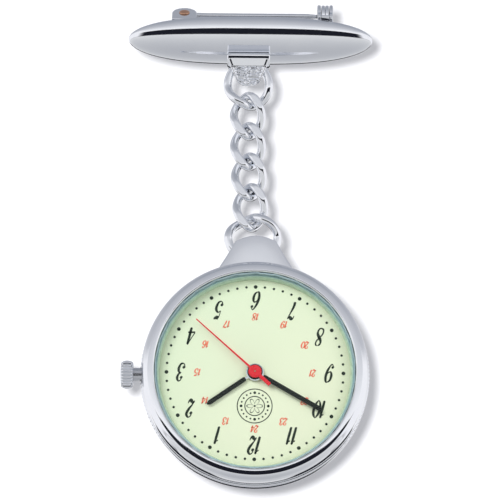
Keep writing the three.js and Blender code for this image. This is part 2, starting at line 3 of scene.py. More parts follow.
import bmesh
import bpy
import mathutils
import numpy as np
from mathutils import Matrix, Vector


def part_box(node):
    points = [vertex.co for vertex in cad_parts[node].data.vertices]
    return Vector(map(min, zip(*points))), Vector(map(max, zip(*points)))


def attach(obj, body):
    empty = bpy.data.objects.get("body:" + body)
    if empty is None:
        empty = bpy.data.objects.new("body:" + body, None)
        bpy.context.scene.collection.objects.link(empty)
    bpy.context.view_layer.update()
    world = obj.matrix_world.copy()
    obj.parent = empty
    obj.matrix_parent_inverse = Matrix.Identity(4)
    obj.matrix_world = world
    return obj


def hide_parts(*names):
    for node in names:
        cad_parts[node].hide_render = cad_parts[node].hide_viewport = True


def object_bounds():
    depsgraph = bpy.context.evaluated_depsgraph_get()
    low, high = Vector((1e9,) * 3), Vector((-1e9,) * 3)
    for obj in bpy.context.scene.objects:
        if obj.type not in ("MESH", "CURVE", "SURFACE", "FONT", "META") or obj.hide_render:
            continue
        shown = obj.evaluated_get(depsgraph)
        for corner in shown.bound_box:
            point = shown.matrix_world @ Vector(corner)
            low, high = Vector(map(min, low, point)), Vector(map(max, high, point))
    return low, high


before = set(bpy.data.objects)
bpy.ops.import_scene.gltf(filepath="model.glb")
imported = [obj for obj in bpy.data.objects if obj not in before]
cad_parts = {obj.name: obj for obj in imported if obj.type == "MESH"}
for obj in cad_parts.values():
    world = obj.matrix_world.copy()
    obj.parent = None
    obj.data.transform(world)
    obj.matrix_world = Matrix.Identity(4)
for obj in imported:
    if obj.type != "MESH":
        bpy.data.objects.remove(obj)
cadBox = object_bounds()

# A fob watch: brooch bar, short curb chain, upside-down watch head. Shapes are worked out in
# millimetres and put into the meshes in metres.
mm = 0.001
fullTurn = 2 * math.pi


def middleOf(node):
    low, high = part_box(node)
    return np.array((low + high) / 2) / mm


headOrigin = middleOf("dial")
headOrigin[1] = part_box("dial")[0].y / mm  # the dial's front face
barPitch = math.radians(42)  # the bar hangs tipped forward about its pin


def toHead(points):
    return points + headOrigin


def toBar(points):
    # turned about x: y' = y cos p - z sin p and z' = y sin p + z cos p
    x, y, z = points.T
    turnedY = y * math.cos(barPitch) - z * math.sin(barPitch)
    turnedZ = y * math.sin(barPitch) + z * math.cos(barPitch)
    return np.stack([x, turnedY, turnedZ], -1)


# Shells: points, quads and end caps, all as whole arrays.

def surface(grid, wrapRows=False, capEnds=False, zipEnds=False):
    # one quad between each point of the grid, its right neighbour and the two below them;
    # a flat end is one cap, and a sheet's curved end is zipped by quads from face to face
    rows, columns = grid.shape[:2]
    down = np.arange(rows if wrapRows else rows - 1)[:, None]
    across = np.arange(columns)[None, :]
    below = (down + 1) % rows
    beside = (across + 1) % columns
    corners = [
        down * columns + across,
        down * columns + beside,
        below * columns + beside,
        below * columns + across,
    ]
    quads = np.stack(np.broadcast_arrays(*corners), -1).reshape(-1, 4)
    rim = np.arange(columns)
    last = (rows - 1) * columns
    caps = [rim, rim + last] if capEnds else []
    if zipEnds:
        i = np.arange(columns // 2 - 1)
        zipped = np.stack([i, i + 1, columns - 2 - i, columns - 1 - i], -1)
        quads = np.concatenate([quads, zipped, zipped + last])
    return grid.reshape(-1, 3), quads, caps


def joined(shells):
    points, quads, caps = [], [], []
    count = 0
    for shellPoints, shellQuads, shellCaps in shells:
        points.append(shellPoints)
        quads.append(shellQuads + count)
        caps += [cap + count for cap in shellCaps]
        count += len(shellPoints)
    return np.concatenate(points), np.concatenate(quads), caps


def moved(shell, change):
    points, quads, caps = shell
    return change(points), quads, caps


def softened(corners, radius, steps=5, closed=True):
    # each corner becomes a short curve from one side to the other:
    # (1-s)^2 of the point before it, 2s(1-s) of the corner and s^2 of the point after it
    corners = np.asarray(corners, float)

    def toward(other):
        gap = other - corners
        length = np.linalg.norm(gap, axis=1, keepdims=True)
        return corners + gap / length * np.minimum(radius, 0.45 * length)

    start = toward(np.roll(corners, 1, 0))[:, None]
    end = toward(np.roll(corners, -1, 0))[:, None]
    s = np.linspace(0, 1, steps)[None, :, None]
    curve = (1 - s) ** 2 * start + 2 * s * (1 - s) * corners[:, None] + s**2 * end
    if not closed:
        curve[0] = corners[0]
        curve[-1] = corners[-1]
    return curve.reshape(-1, 2)


def lathe(profile, steps=192, closed=True, ripple=0.0):
    # each profile point (r, y) goes round the y axis: x = r cos a, z = r sin a; ripple adds to r
    angle = np.linspace(0, fullTurn, steps, endpoint=False)[None, :]
    profile = np.asarray(profile, float)
    radius = profile[:, :1] + ripple
    depth = profile[:, 1:] + 0 * angle
    grid = np.stack([radius * np.cos(angle), depth, radius * np.sin(angle)], -1)
    return surface(grid, wrapRows=closed)


def slab(outline, low, high, soft=0.08, crown=0.0, hole=(0, 0, 0)):
    # rings that follow the outline: pulled in by soft at both faces, then shrunk to the hole;
    # the front face rises by crown (1 - s^2) as the ring's size s falls from 1 to the hole
    centre = np.array(hole[:2], float)
    arm = np.asarray(outline, float) - centre
    length = np.linalg.norm(arm, axis=1, keepdims=True)
    heading = arm / length
    holeArm = heading * hole[2]
    pulled = heading * (length - soft)
    steps = np.linspace(1, 0, 9 if crown else 2)[1:]
    rings = [(arm, high - soft), (arm, low + soft), (pulled, low)]
    rings += [
        (holeArm + (pulled - holeArm) * s, low - crown * (1 - s**2)) for s in steps
    ]
    if hole[2]:
        rings.append((holeArm, high))
    else:
        rings.append((arm * 0, high))
    rings.append((pulled, high))
    rows = [
        np.column_stack([ring[:, 0] + centre[0], np.full(len(ring), y), ring[:, 1] + centre[1]])
        for ring, y in rings
    ]
    if not hole[2]:
        rows = [rows[-2]] + [rows[-1]] + rows[:-2]
        return surface(np.stack(rows), wrapRows=False)
    return surface(np.stack(rows), wrapRows=True)


def disc(radius, low, high, steps=24, soft=0.0):
    profile = [[0, low], [radius, low], [radius, high], [0, high]]
    if soft:
        profile = softened(profile, soft, 4, closed=False)
    return lathe(profile, steps, closed=False)


def circle(radius, steps=48):
    angle = np.linspace(0, fullTurn, steps, endpoint=False)
    return np.stack([radius * np.cos(angle), radius * np.sin(angle)], -1)


def evenLoop(corners, count):
    # points at equal steps along the closed line through the corners
    corners = np.asarray(corners, float)
    loop = np.vstack([corners, corners[:1]])
    run = np.r_[0, np.cumsum(np.linalg.norm(np.diff(loop, axis=0), axis=1))]
    at = np.linspace(0, run[-1], count, endpoint=False)
    return np.stack([np.interp(at, run, loop[:, 0]), np.interp(at, run, loop[:, 1])], -1)


def wireLoop(loop, radius, samples=200, sides=36, ground=0.0):
    # an oval x = w cos a, z = h sin a, turned about z by up to the top twist in its upper half
    # and the low twist in its lower half, with a round section; ground limits |y| softly
    a = np.linspace(0, fullTurn, samples, endpoint=False)
    rise = np.sin(a)
    lift = np.abs(rise) ** loop["ease"]
    turn = np.where(rise > 0, -loop["topTwist"] * lift, loop["lowTwist"] * lift)
    x = loop["halfWidth"] * np.cos(a)
    line = np.stack([x * np.cos(turn), x * np.sin(turn), loop["halfHeight"] * rise], -1)
    along = np.roll(line, -1, 0) - np.roll(line, 1, 0)
    along /= np.linalg.norm(along, axis=1, keepdims=True)
    outward = line - along * np.sum(line * along, axis=1, keepdims=True)
    outward /= np.linalg.norm(outward, axis=1, keepdims=True)
    side = np.cross(along, outward)
    b = np.linspace(0, fullTurn, sides, endpoint=False)[None, :, None]
    grid = line[:, None] + radius * (np.cos(b) * outward[:, None] + np.sin(b) * side[:, None])
    if ground:
        blend = 0.04  # how rounded the ground edge is
        y = grid[..., 1]
        limited = -blend * np.logaddexp(-np.abs(y) / blend, -ground / blend)
        grid[..., 1] = np.sign(y) * np.maximum(limited, 0)
    return surface(grid, wrapRows=True)


def strap(path, halfWidth, thickness, relief=0.0, across=41):
    # a sheet carried along a line in y and z, as wide as it says at each station and thick to
    # both sides of the line; relief adds to its outer face
    path = np.asarray(path, float)
    along = np.gradient(path, axis=0)
    along /= np.linalg.norm(along, axis=1, keepdims=True)
    normal = np.stack([along[:, 1], -along[:, 0]], -1)
    u = np.linspace(-1, 1, across)[None, :]
    x = np.asarray(halfWidth, float)[:, None] * u
    edge = 0.35 * thickness * np.abs(u) ** 30

    def face(height):
        offset = path[:, None] + normal[:, None] * height[..., None]
        return np.concatenate([x[..., None], offset], -1)

    outer = face(thickness / 2 - edge + relief + 0 * x)
    inner = face(-thickness / 2 + edge + 0 * x)
    grid = np.concatenate([outer, inner[:, ::-1]], 1)
    return surface(grid, zipEnds=True)


def curveThrough(points, samples=60, closed=False):
    # a smooth line through the points: each stretch is the cubic whose slope at a point is
    # half the gap between that point's neighbours
    points = np.asarray(points, float)
    count = len(points)
    at = np.linspace(0, count if closed else count - 1, samples, endpoint=not closed)
    first = np.floor(at).astype(int)
    first = first % count if closed else np.minimum(first, count - 2)
    s = (at - np.floor(at))[:, None]
    if not closed:
        s = (at - first)[:, None]

    def pick(offset):
        index = first + offset
        return points[index % count if closed else np.clip(index, 0, count - 1)]

    before, start, end, after = pick(-1), pick(0), pick(1), pick(2)
    bend = 2 * before - 5 * start + 4 * end - after
    twist = 3 * start - before - 3 * end + after
    return 0.5 * (2 * start + (end - before) * s + bend * s**2 + twist * s**3)


def addPiece(name, shells, finish, body, replaced=(), place=None, crease=38):
    points, quads, caps = joined(shells)
    if place:
        points = place(points)
    mesh = bpy.data.meshes.new(name)
    faces = quads.tolist() + [cap.tolist() for cap in caps]
    mesh.from_pydata((points * mm).tolist(), [], faces)
    shaped = bmesh.new()
    shaped.from_mesh(mesh)
    bmesh.ops.remove_doubles(shaped, verts=shaped.verts, dist=3e-7)
    bmesh.ops.recalc_face_normals(shaped, faces=shaped.faces)
    shaped.to_mesh(mesh)
    shaped.free()
    mesh.shade_smooth()
    mesh.set_sharp_from_angle(angle=math.radians(crease))
    mesh.materials.append(finish)
    made = bpy.data.objects.new(name, mesh)
    bpy.context.scene.collection.objects.link(made)
    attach(made, body)
    if replaced:
        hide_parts(*replaced)
    return made


# Shader maths: a wire is a socket that plain sums work on.

class Wire:
    def __init__(self, nodes, socket):
        self.nodes = nodes
        self.socket = socket

    def sum(self, operation, first, second):
        settings = {"operation": operation}
        return self.nodes.add("Math", settings, {0: first, 1: second})

    def __add__(self, other):
        return self.sum("ADD", self, other)

    def __radd__(self, other):
        return self.sum("ADD", other, self)

    def __sub__(self, other):
        return self.sum("SUBTRACT", self, other)

    def __rsub__(self, other):
        return self.sum("SUBTRACT", other, self)

    def __mul__(self, other):
        return self.sum("MULTIPLY", self, other)

    def __rmul__(self, other):
        return self.sum("MULTIPLY", other, self)

    def __truediv__(self, other):
        return self.sum("DIVIDE", self, other)

    def __pow__(self, other):
        return self.sum("POWER", self, other)

    def __abs__(self):
        return self.sum("ABSOLUTE", self, 0)

    def limited(self):
        return self.sum("MINIMUM", self.sum("MAXIMUM", self, 0), 1)

    def between(self, low, high):
        # 0 below low, 1 above high, smooth in between
        inputs = {"Value": self, "From Min": low, "From Max": high}
        settings = {"interpolation_type": "SMOOTHSTEP"}
        return self.nodes.add("MapRange", settings, inputs)


class Nodes:
    def __init__(self, tree):
        self.tree = tree

    def feed(self, socket, value):
        if isinstance(value, Wire):
            self.tree.links.new(value.socket, socket)
        else:
            socket.default_value = value

    def add(self, kind, settings=None, inputs=None, output=0):
        made = self.tree.nodes.new("ShaderNode" + kind)
        for name, value in (settings or {}).items():
            if name == "stops":
                self.setStops(made.color_ramp.elements, value)
            else:
                setattr(made, name, value)
        for name, value in (inputs or {}).items():
            self.feed(made.inputs[name], value)
        return Wire(self, made.outputs[output])

    def setStops(self, elements, stops):
        while len(elements) < len(stops):
            elements.new(1)
        for element, (position, colour) in zip(elements, stops):
            element.position = position
            element.color = (*colour, 1)

    def axes(self, vector):
        parts = self.add("SeparateXYZ", None, {"Vector": vector})
        outputs = parts.socket.node.outputs
        return [Wire(self, outputs[i]) for i in range(3)]

    def tinted(self, factor, first, second):
        # a colour between two colours
        inputs = {0: factor, 6: first, 7: second}
        return self.add("Mix", {"data_type": "RGBA"}, inputs, 2)


class Finish(Nodes):
    def __init__(self, name, constants):
        self.material = bpy.data.materials.new(name)
        self.material.use_nodes = True
        super().__init__(self.material.node_tree)
        self.shader = self.tree.nodes["Principled BSDF"]
        for socket, value in constants.items():
            self.shader.inputs[socket].default_value = value
        self.place = self.add("TexCoord", output="Object")

    def noise(self, scale, detail=3.0, vector=None, dimensions="3D"):
        inputs = {"Scale": scale, "Detail": detail}
        inputs["W" if dimensions == "1D" else "Vector"] = vector or self.place
        return self.add("TexNoise", {"noise_dimensions": dimensions}, inputs)

    def stretched(self, scale, centre=(0, 0, 0)):
        inputs = {"Vector": self.place, "Scale": scale, "Location": centre}
        return self.add("Mapping", {"vector_type": "POINT"}, inputs)

    def fromHead(self):
        # the distance from the dial's centre, and the place across and up from it, in metres
        origin = tuple(-v * mm for v in headOrigin)
        x, y, z = self.axes(self.stretched((1, 1, 1), origin))
        radius = (x * x + z * z) ** 0.5
        return radius, x, z

    def put(self, **values):
        sockets = {"colour": "Base Color", "roughness": "Roughness", "metal": "Metallic"}
        for name, value in values.items():
            self.feed(self.shader.inputs[sockets[name]], value)

    def bumped(self, height, depth, strength=1.0):
        inputs = {"Height": height, "Distance": depth, "Strength": strength}
        self.feed(self.shader.inputs["Normal"], self.add("Bump", None, inputs))


chromeLook = {
    "bright": (0.93, 0.94, 0.96),
    "dull": (0.84, 0.86, 0.90),
    "gloss": 0.035,
    "smear": 0.05,
    "hairline": 0.03,
    "ripple": 0.0000022,
}


def chromeFinish(name, look, hairDirection):
    # polished plate: cloudy handling marks, fine hairlines along one way and a faint ripple
    finish = Finish(name, {"Metallic": 1.0, "Specular IOR Level": 0.5})
    cloud = finish.noise(260, 4)
    hair = finish.noise(1, 2, finish.stretched(hairDirection))
    wave = finish.noise(420, 2)
    finish.put(
        colour=finish.tinted(cloud, look["bright"] + (1,), look["dull"] + (1,)),
        roughness=look["gloss"] + cloud * look["smear"] + hair**4 * look["hairline"],
    )
    finish.bumped(wave + hair * 0.15, look["ripple"])
    return finish.material


chrome = chromeFinish("polishedChrome", chromeLook, (900, 14000, 14000))
linkChrome = chromeFinish(
    "tumbledChrome", {**chromeLook, "gloss": 0.06, "ripple": 0.000006}, (9000, 9000, 1500)
)


def steelFinish(name, look):
    # brushed steel: grain along one way in its shine and its surface
    finish = Finish(name, {"Metallic": 1.0})
    grain = finish.noise(1, 3, finish.stretched(look["grain"]))
    patch = finish.noise(300, 3)
    finish.put(
        colour=finish.tinted(patch, look["bright"] + (1,), look["dull"] + (1,)),
        roughness=look["gloss"] + grain * look["spread"],
    )
    finish.bumped(grain, look["depth"])
    return finish.material


steel = steelFinish("brushedSteel", {
    "bright": (0.72, 0.73, 0.75), "dull": (0.60, 0.61, 0.64), "grain": (1200, 20000, 20000),
    "gloss": 0.16, "spread": 0.2, "depth": 0.000002,
})
pinSteel = steelFinish("drawnPinSteel", {
    "bright": (0.88, 0.89, 0.91), "dull": (0.74, 0.76, 0.80), "grain": (400, 22000, 22000),
    "gloss": 0.06, "spread": 0.1, "depth": 0.000001,
})
copper = steelFinish("copperRivet", {
    "bright": (0.86, 0.52, 0.36), "dull": (0.52, 0.27, 0.17), "grain": (9000, 9000, 9000),
    "gloss": 0.2, "spread": 0.3, "depth": 0.000006,
})
brass = steelFinish("gildedPlate", {
    "bright": (0.86, 0.70, 0.38), "dull": (0.68, 0.50, 0.22), "grain": (1500, 9000, 16000),
    "gloss": 0.22, "spread": 0.2, "depth": 0.000002,
})
winding = steelFinish("enamelledWire", {
    "bright": (0.80, 0.33, 0.14), "dull": (0.48, 0.16, 0.06), "grain": (26000, 900, 900),
    "gloss": 0.2, "spread": 0.3, "depth": 0.00003,
})


def backSteelFinish(look):
    # turned steel: fine rings about the middle, a polished rim and a few hair marks
    finish = Finish("turnedBackSteel", {"Metallic": 1.0})
    radius, _, _ = finish.fromHead()
    rings = finish.noise(1, 4, radius * look["ringsPerMetre"], "1D")
    marks = finish.noise(1, 3, finish.stretched((3000, 300, 900)))
    flat = 1 - radius.between(look["flat"] - 0.0003, look["flat"])
    finish.put(
        colour=finish.tinted(rings, look["bright"], look["dull"]),
        roughness=look["gloss"] + flat * (0.08 + rings * 0.12) + marks**4 * 0.1,
    )
    finish.bumped(rings * flat, look["depth"])
    return finish.material


backSteel = backSteelFinish({
    "bright": (0.80, 0.81, 0.83, 1), "dull": (0.68, 0.69, 0.72, 1), "ringsPerMetre": 5200,
    "flat": 0.0142, "gloss": 0.07, "depth": 0.000004,
})


def dialFinish(look):
    # luminous paint: a soft drift from cool green to cream, mottle, a fine grain and a painted shade that darkens it
    # towards its rim by the flange
    finish = Finish("luminousPaint", {"Specular IOR Level": 0.25})
    radius, x, z = finish.fromHead()
    drift = ((x - z) * look["drift"] + 0.5).limited()
    mottle = finish.noise(700, 3)
    grain = finish.noise(16000, 2)
    tone = finish.tinted(drift, look["green"], look["cream"])
    # painted shade: towards the rim, where the flange and case stand over the dial, the paint is pulled towards the
    # shadow colour; the mottle darkens it a little as well
    shade = 1 - radius.between(0.0138, 0.0163) * look["edgeShade"] - mottle * 0.03
    darker = finish.tinted(shade, look["shadow"], tone)
    finish.put(colour=darker, roughness=0.55 + grain * 0.15)
    finish.bumped(grain + mottle * 0.4, look["depth"])
    return finish.material


dialPaint = dialFinish({
    "green": (0.83, 0.885, 0.65, 1), "cream": (0.92, 0.90, 0.67, 1),
    "shadow": (0.42, 0.53, 0.33, 1),
    "drift": 22, "edgeShade": 0.22, "depth": 0.000006,
})


def paintFinish(name, look):
    # printing ink or lacquer: slightly uneven colour and a dry, orange-peel surface
    finish = Finish(name, {"Specular IOR Level": 0.2})
    patch = finish.noise(look["patch"], 3)
    finish.put(
        colour=finish.tinted(patch, look["deep"], look["light"]),
        roughness=look["gloss"] + patch * 0.2,
    )
    finish.bumped(patch, look["depth"])
    return finish.material


blackInk = paintFinish("greenBlackInk", {
    "deep": (0.008, 0.014, 0.008, 1), "light": (0.03, 0.045, 0.03, 1), "patch": 5000,
    "gloss": 0.45, "depth": 0.000003,
})
redInk = paintFinish("coralInk", {
    "deep": (0.88, 0.13, 0.07, 1), "light": (0.95, 0.24, 0.15, 1), "patch": 6000,
    "gloss": 0.5, "depth": 0.000003,
})
handBlack = paintFinish("blackHandLacquer", {
    "deep": (0.006, 0.009, 0.007, 1), "light": (0.014, 0.018, 0.014, 1), "patch": 2500,
    "gloss": 0.3, "depth": 0.000002,
})
handRed = paintFinish("redHandLacquer", {
    "deep": (0.72, 0.016, 0.03, 1), "light": (0.84, 0.04, 0.05, 1), "patch": 2500,
    "gloss": 0.3, "depth": 0.000002,
})
holderPlastic = paintFinish("mouldedPlastic", {
    "deep": (0.62, 0.62, 0.58, 1), "light": (0.76, 0.76, 0.72, 1), "patch": 1800,
    "gloss": 0.4, "depth": 0.000006,
})
boardGreen = paintFinish("boardLacquer", {
    "deep": (0.008, 0.09, 0.035, 1), "light": (0.02, 0.17, 0.07, 1), "patch": 900,
    "gloss": 0.3, "depth": 0.00001,
})
glassSeal = paintFinish("clearNylonSeal", {
    "deep": (0.30, 0.42, 0.46, 1), "light": (0.44, 0.55, 0.58, 1), "patch": 2000,
    "gloss": 0.35, "depth": 0.000004,
})
sealBlack = paintFinish("sealRubber", {
    "deep": (0.010, 0.010, 0.011, 1), "light": (0.025, 0.025, 0.026, 1), "patch": 3000,
    "gloss": 0.6, "depth": 0.00001,
})


def flangeFinish(look):
    # the slope round the dial: pale green at its foot, teal and blue-grey towards the glass
    finish = Finish("tintedFlange", {"Coat Weight": 0.4, "Coat Roughness": 0.1})
    radius, _, _ = finish.fromHead()
    climb = radius.between(look["foot"], look["top"])
    cloud = finish.noise(900, 3)
    ramp = finish.add("ValToRGB", {"stops": look["stops"]}, {"Fac": climb})
    finish.put(
        colour=finish.tinted(cloud * 0.25, ramp, look["mist"]),
        roughness=0.2 + cloud * 0.15,
    )
    finish.bumped(cloud, 0.000004)
    return finish.material


flangeTint = flangeFinish({
    "foot": 0.0151, "top": 0.0159, "mist": (0.55, 0.70, 0.66, 1),
    "stops": [(0.0, (0.50, 0.64, 0.44)), (0.45, (0.36, 0.53, 0.50)), (1.0, (0.18, 0.34, 0.40))],
})


def windowFinish(look):
    # a clear pane: mostly straight through, a little mirror that grows towards its edge on view
    finish = Finish("clearWindow", {})
    tree = finish.tree
    facing = finish.add("LayerWeight", None, {"Blend": 0.5}, "Facing")
    smear = finish.noise(180, 3)
    through = finish.add("BsdfTransparent", None, {"Color": look["tint"]})
    mirror = finish.add("BsdfGlossy", None, {"Roughness": look["gloss"] + smear * 0.03})
    share = look["least"] + facing**5 * look["most"]
    mixed = finish.add("MixShader", None, {0: share, 1: through, 2: mirror})
    output = tree.nodes["Material Output"]
    tree.nodes.remove(finish.shader)
    finish.feed(output.inputs["Surface"], mixed)
    return finish.material


glass = windowFinish({"tint": (0.97, 0.99, 0.985, 1), "gloss": 0.01, "least": 0.012, "most": 0.8})
print("stage: finishes made", len(bpy.data.materials))

# The CAD pieces that keep their own shape.
keptFinishes = [
    (steel, ["stem", "crown_tube", "battery", "battery_clip", "bridge_screw_1",
                        "bridge_screw_2", "quartz_can", "rotor", "stator", "coil_core",
                        "cannon_pinion"]),
    (brass, ["main_plate", "train_bridge", "hour_wheel", "minute_wheel",
                       "centre_wheel", "third_wheel", "seconds_wheel"]),
    (holderPlastic, ["movement_holder", "intermediate_wheel"]),
    (winding, ["coil_winding"]),
    (boardGreen, ["circuit_board"]),
    (sealBlack, ["crown_seal", "back_gasket"]),
    (glassSeal, ["crystal_gasket"]),
]
for finish, names in keptFinishes:
    for name in names:
        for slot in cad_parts[name].material_slots:
            slot.material = finish

# Brooch bar: the domed shell, its back plate, the pin's bracket and rivet, pin and catch.
barLook = {
    "halfLength": 19.8,
    "halfHeight": 4.2,
    "depth": 2.6,
    "middleZ": -2.6,
    "backY": -3.4,
    "plate": 0.4,
    "lip": 0.22,
    "nose": 2.7,
}


def barHeight(x, look, inset=0.0):
    # half height = H sqrt(1 - |x/L|^nose), a long oval with drawn-out ends
    halfLength = look["halfLength"] - inset
    fullness = np.maximum(0, 1 - np.abs(x / halfLength) ** look["nose"])
    return (look["halfHeight"] - inset) * fullness**0.5


def barDome(look, along=260, around=72):
    # each section is half an ellipse, z = h cos s and y = -d sin s with d shrinking as h^1.15;
    # behind, a thin straight fin goes out and back at the rim, and a flat face closes it
    v = np.linspace(0, 1, along)
    x = (-look["halfLength"] * np.cos(math.pi * v))[:, None]
    height = barHeight(x, look)
    share = height / look["halfHeight"]
    s = np.linspace(0, math.pi, around)[None, :]
    z = height * np.cos(s)
    y = -look["depth"] * np.sin(s) * share**1.15
    finSteps = 6
    r = np.linspace(math.pi / 2, 3 * math.pi / 2, finSteps + 1)[None, 1:]
    lip = look["lip"]
    lipY = lip * np.sin(r - math.pi / 2) * np.minimum(1, share * 1.5)
    lipZ = (height - lip * share) - lip * share * np.cos(r + math.pi)
    grid = np.stack([
        np.broadcast_to(x, (along, around + 2 * finSteps)),
        np.concatenate([y, lipY, lipY[:, ::-1]], 1) + look["backY"] - look["plate"],
        np.concatenate([z, -lipZ, lipZ[:, ::-1]], 1) + look["middleZ"],
    ], -1)
    return surface(grid)


def barOutline(look, inset, count=240):
    x = -(look["halfLength"] - inset) * np.cos(np.linspace(0, math.pi, count // 2))
    z = barHeight(x, look, inset)
    upper = np.stack([x, z], -1)
    return np.vstack([upper, (upper * [1, -1])[-2:0:-1]])


def lifted(x=0.0, y=0.0, z=0.0):
    return lambda points: points + [x, y, z]


addPiece("bar_dome", [barDome(barLook)], chrome, "pin_bar",
         ["bar_shell"], toBar, crease=60)
backLow = barLook["backY"] - barLook["plate"] + 0.08
backPlate = slab(barOutline(barLook, 0.35), backLow, barLook["backY"], 0.1)
backPanel = slab(barOutline(barLook, 1.15), barLook["backY"] - 0.1, barLook["backY"] + 0.05, 0.05)
addPiece("bar_back", [moved(backPlate, lifted(z=barLook["middleZ"])),
                      moved(backPanel, lifted(z=barLook["middleZ"]))],
         steel, "pin_bar", ["bar_back_plate"], toBar)

pinLook = {
    "rivetX": -10.8,
    "rivetY": -0.95,
    "tipX": 13.3,
    "radius": 0.45,
    "eye": 1.4,
    "eyeThickness": 0.9,
    "earRadius": 2.0,
    "earThickness": 0.4,
    "gap": 0.08,
    "rivetRadius": 0.45,
}


def acrossZ(points):
    # a slab made front to back is laid flat: its depth runs along z
    return points[:, [0, 2, 1]]


def acrossX(points):
    return points[:, [1, 0, 2]]


def earOutline(radius, foot, count=120):
    angle = np.linspace(0, math.pi, 40)
    top = np.stack([radius * np.cos(angle), radius * np.sin(angle)], -1)
    return evenLoop(np.vstack([top, [[-radius, foot], [radius, foot]]]), count)


def pinBracketShells(look):
    foot = barLook["backY"] + look["gap"] - look["rivetY"]
    inner = look["eyeThickness"] / 2 + look["gap"]
    outline = earOutline(look["earRadius"], foot)
    hole = (0, 0, look["rivetRadius"] + 0.05)
    ears = [
        moved(slab(outline, low, low + look["earThickness"], 0.07, hole=hole), acrossZ)
        for low in (inner, -inner - look["earThickness"])
    ]
    base = evenLoop([[-2, -inner], [2, -inner], [2, inner], [-2, inner]], 80)
    return ears + [slab(base, foot, foot + 0.45, 0.06)]


def rivetShell(look):
    half = look["eyeThickness"] / 2 + look["gap"] + look["earThickness"] + 0.03
    head = np.linspace(0, math.pi / 2, 8)
    dome = np.stack([0.85 * np.sin(head), half + 0.02 + 0.32 * np.cos(head)], -1)
    shank = [[look["rivetRadius"], half], [look["rivetRadius"], -half]]
    profile = np.vstack([dome, shank, (dome * [1, -1])[::-1]])
    return moved(lathe(profile, 40, closed=False), acrossZ)


def pinShells(look):
    # an eye about the rivet and a wire that thins to its point: r = R for most of its length,
    # then R (1 - s)^0.8 along the last 4 mm
    half = look["eyeThickness"] / 2
    eye = slab(circle(look["eye"], 64), -half, half, 0.12,
               hole=(0, 0, look["rivetRadius"] + 0.06))
    length = look["tipX"] - look["rivetX"]
    x = np.r_[0.0, np.linspace(0.01, length - 4, 12), np.linspace(length - 3.9, length, 18)]
    s = np.clip((x - length + 4) / 4, 0, 1)
    radius = look["radius"] * (1 - s) ** 0.8
    radius[0] = 0
    wire = lathe(np.stack([radius, x], -1), 32, closed=False)
    beside = moved(moved(wire, acrossX), lifted(y=-look["rivetY"]))
    return [moved(eye, acrossZ), beside]


def atRivet(points):
    return toBar(points + [pinLook["rivetX"], pinLook["rivetY"], 0])


addPiece("pin_ears", pinBracketShells(pinLook), chrome, "pin_bar",
         ["pin_bracket"], atRivet)
addPiece("rivet_heads", [rivetShell(pinLook)], copper, "pin_bar",
         ["hinge_rivet"], atRivet)
addPiece("pin_wire", pinShells(pinLook), pinSteel, "pin", ["brooch_pin"], atRivet)

catchLook = {
    "x": 12.1,
    "radius": 1.9,
    "cheek": 0.6,
    "lock": 1.2,
    "slot": 0.62,
    "gap": 0.08,
    "cheekRound": 0.24,
    "washerRound": 0.2,
    "tabTurn": -55,
}


def slottedOutline(radius, slot, count=200):
    # a round plate with a round-ended slot, as wide as the bore, that runs out to the back
    edge = math.asin(slot / radius)
    rim = np.linspace(edge, fullTurn - edge, 90)
    outer = np.stack([radius * np.cos(rim), radius * np.sin(rim)], -1)
    inside = np.linspace(3 * math.pi / 2, math.pi / 2, 30)
    inner = np.stack([slot * np.cos(inside), slot * np.sin(inside)], -1)
    return evenLoop(np.vstack([outer, inner]), count)


def roundedPlate(outline, low, high, soft):
    # each face's rim rolls in along the outline's normal by r (1 - sin a) as it rises by
    # r (1 - cos a), with a going from 0 to a quarter turn
    along = np.roll(outline, -1, 0) - np.roll(outline, 1, 0)
    along /= np.linalg.norm(along, axis=1, keepdims=True)
    inward = np.stack([-along[:, 1], along[:, 0]], -1)
    a = np.linspace(0, math.pi / 2, 7)
    pulled = soft * (1 - np.sin(a))
    risen = soft * (1 - np.cos(a))
    steps = [*zip(pulled, low + risen), *zip(pulled[::-1], high - risen[::-1])]
    grid = np.stack([
        np.column_stack([np.full(len(outline), x), *(outline + inward * inset).T])
        for inset, x in steps
    ])
    return surface(grid, capEnds=True)


def catchShells(look):
    foot = barLook["backY"] + look["gap"]
    inner = look["lock"] / 2 + look["gap"]
    cheek = slottedOutline(look["radius"], look["slot"])
    neck = evenLoop([[foot, -1.6], [foot, 1.6], [-1.1, 1.35], [-1.1, -1.35]], 100)[::-1]
    shells = []
    for low in (inner, -inner - look["cheek"]):
        shells.append(roundedPlate(cheek, low, low + look["cheek"], look["cheekRound"]))
        shells.append(roundedPlate(neck, low + 0.04, low + look["cheek"] - 0.04, 0.12))
    base = evenLoop([[-inner, -1.6], [inner, -1.6], [inner, 1.6], [-inner, 1.6]], 60)
    return shells + [slab(base, foot, foot + 0.45, 0.05)]


def lockShells(look):
    # two thin washers side by side, and a thumb tab that points away from the bar
    half = look["lock"] / 2
    washer = slottedOutline(look["radius"] - 0.05, look["slot"])
    tab = slab(evenLoop([[-half, -0.35], [half, -0.35], [half, 0.35], [-half, 0.35]], 40),
               1.3, 2.9, 0.12)
    angle = math.radians(look["tabTurn"])

    def tipped(points):
        x, y, z = points.T
        return np.stack([x, y * math.cos(angle) - z * math.sin(angle),
                         y * math.sin(angle) + z * math.cos(angle)], -1)

    return [
        roundedPlate(washer, -half, -0.02, look["washerRound"]),
        roundedPlate(washer, 0.02, half, look["washerRound"]),
        moved(tab, tipped),
    ]


def atCatch(points):
    return toBar(points + [catchLook["x"], 0, 0])


addPiece("catch_cheeks", catchShells(catchLook), chrome, "pin_bar",
         ["catch_bracket"], atCatch)
addPiece("catch_barrel", lockShells(catchLook), chrome, "catch",
         ["catch_lock"], atCatch)
print("stage: brooch bar made")

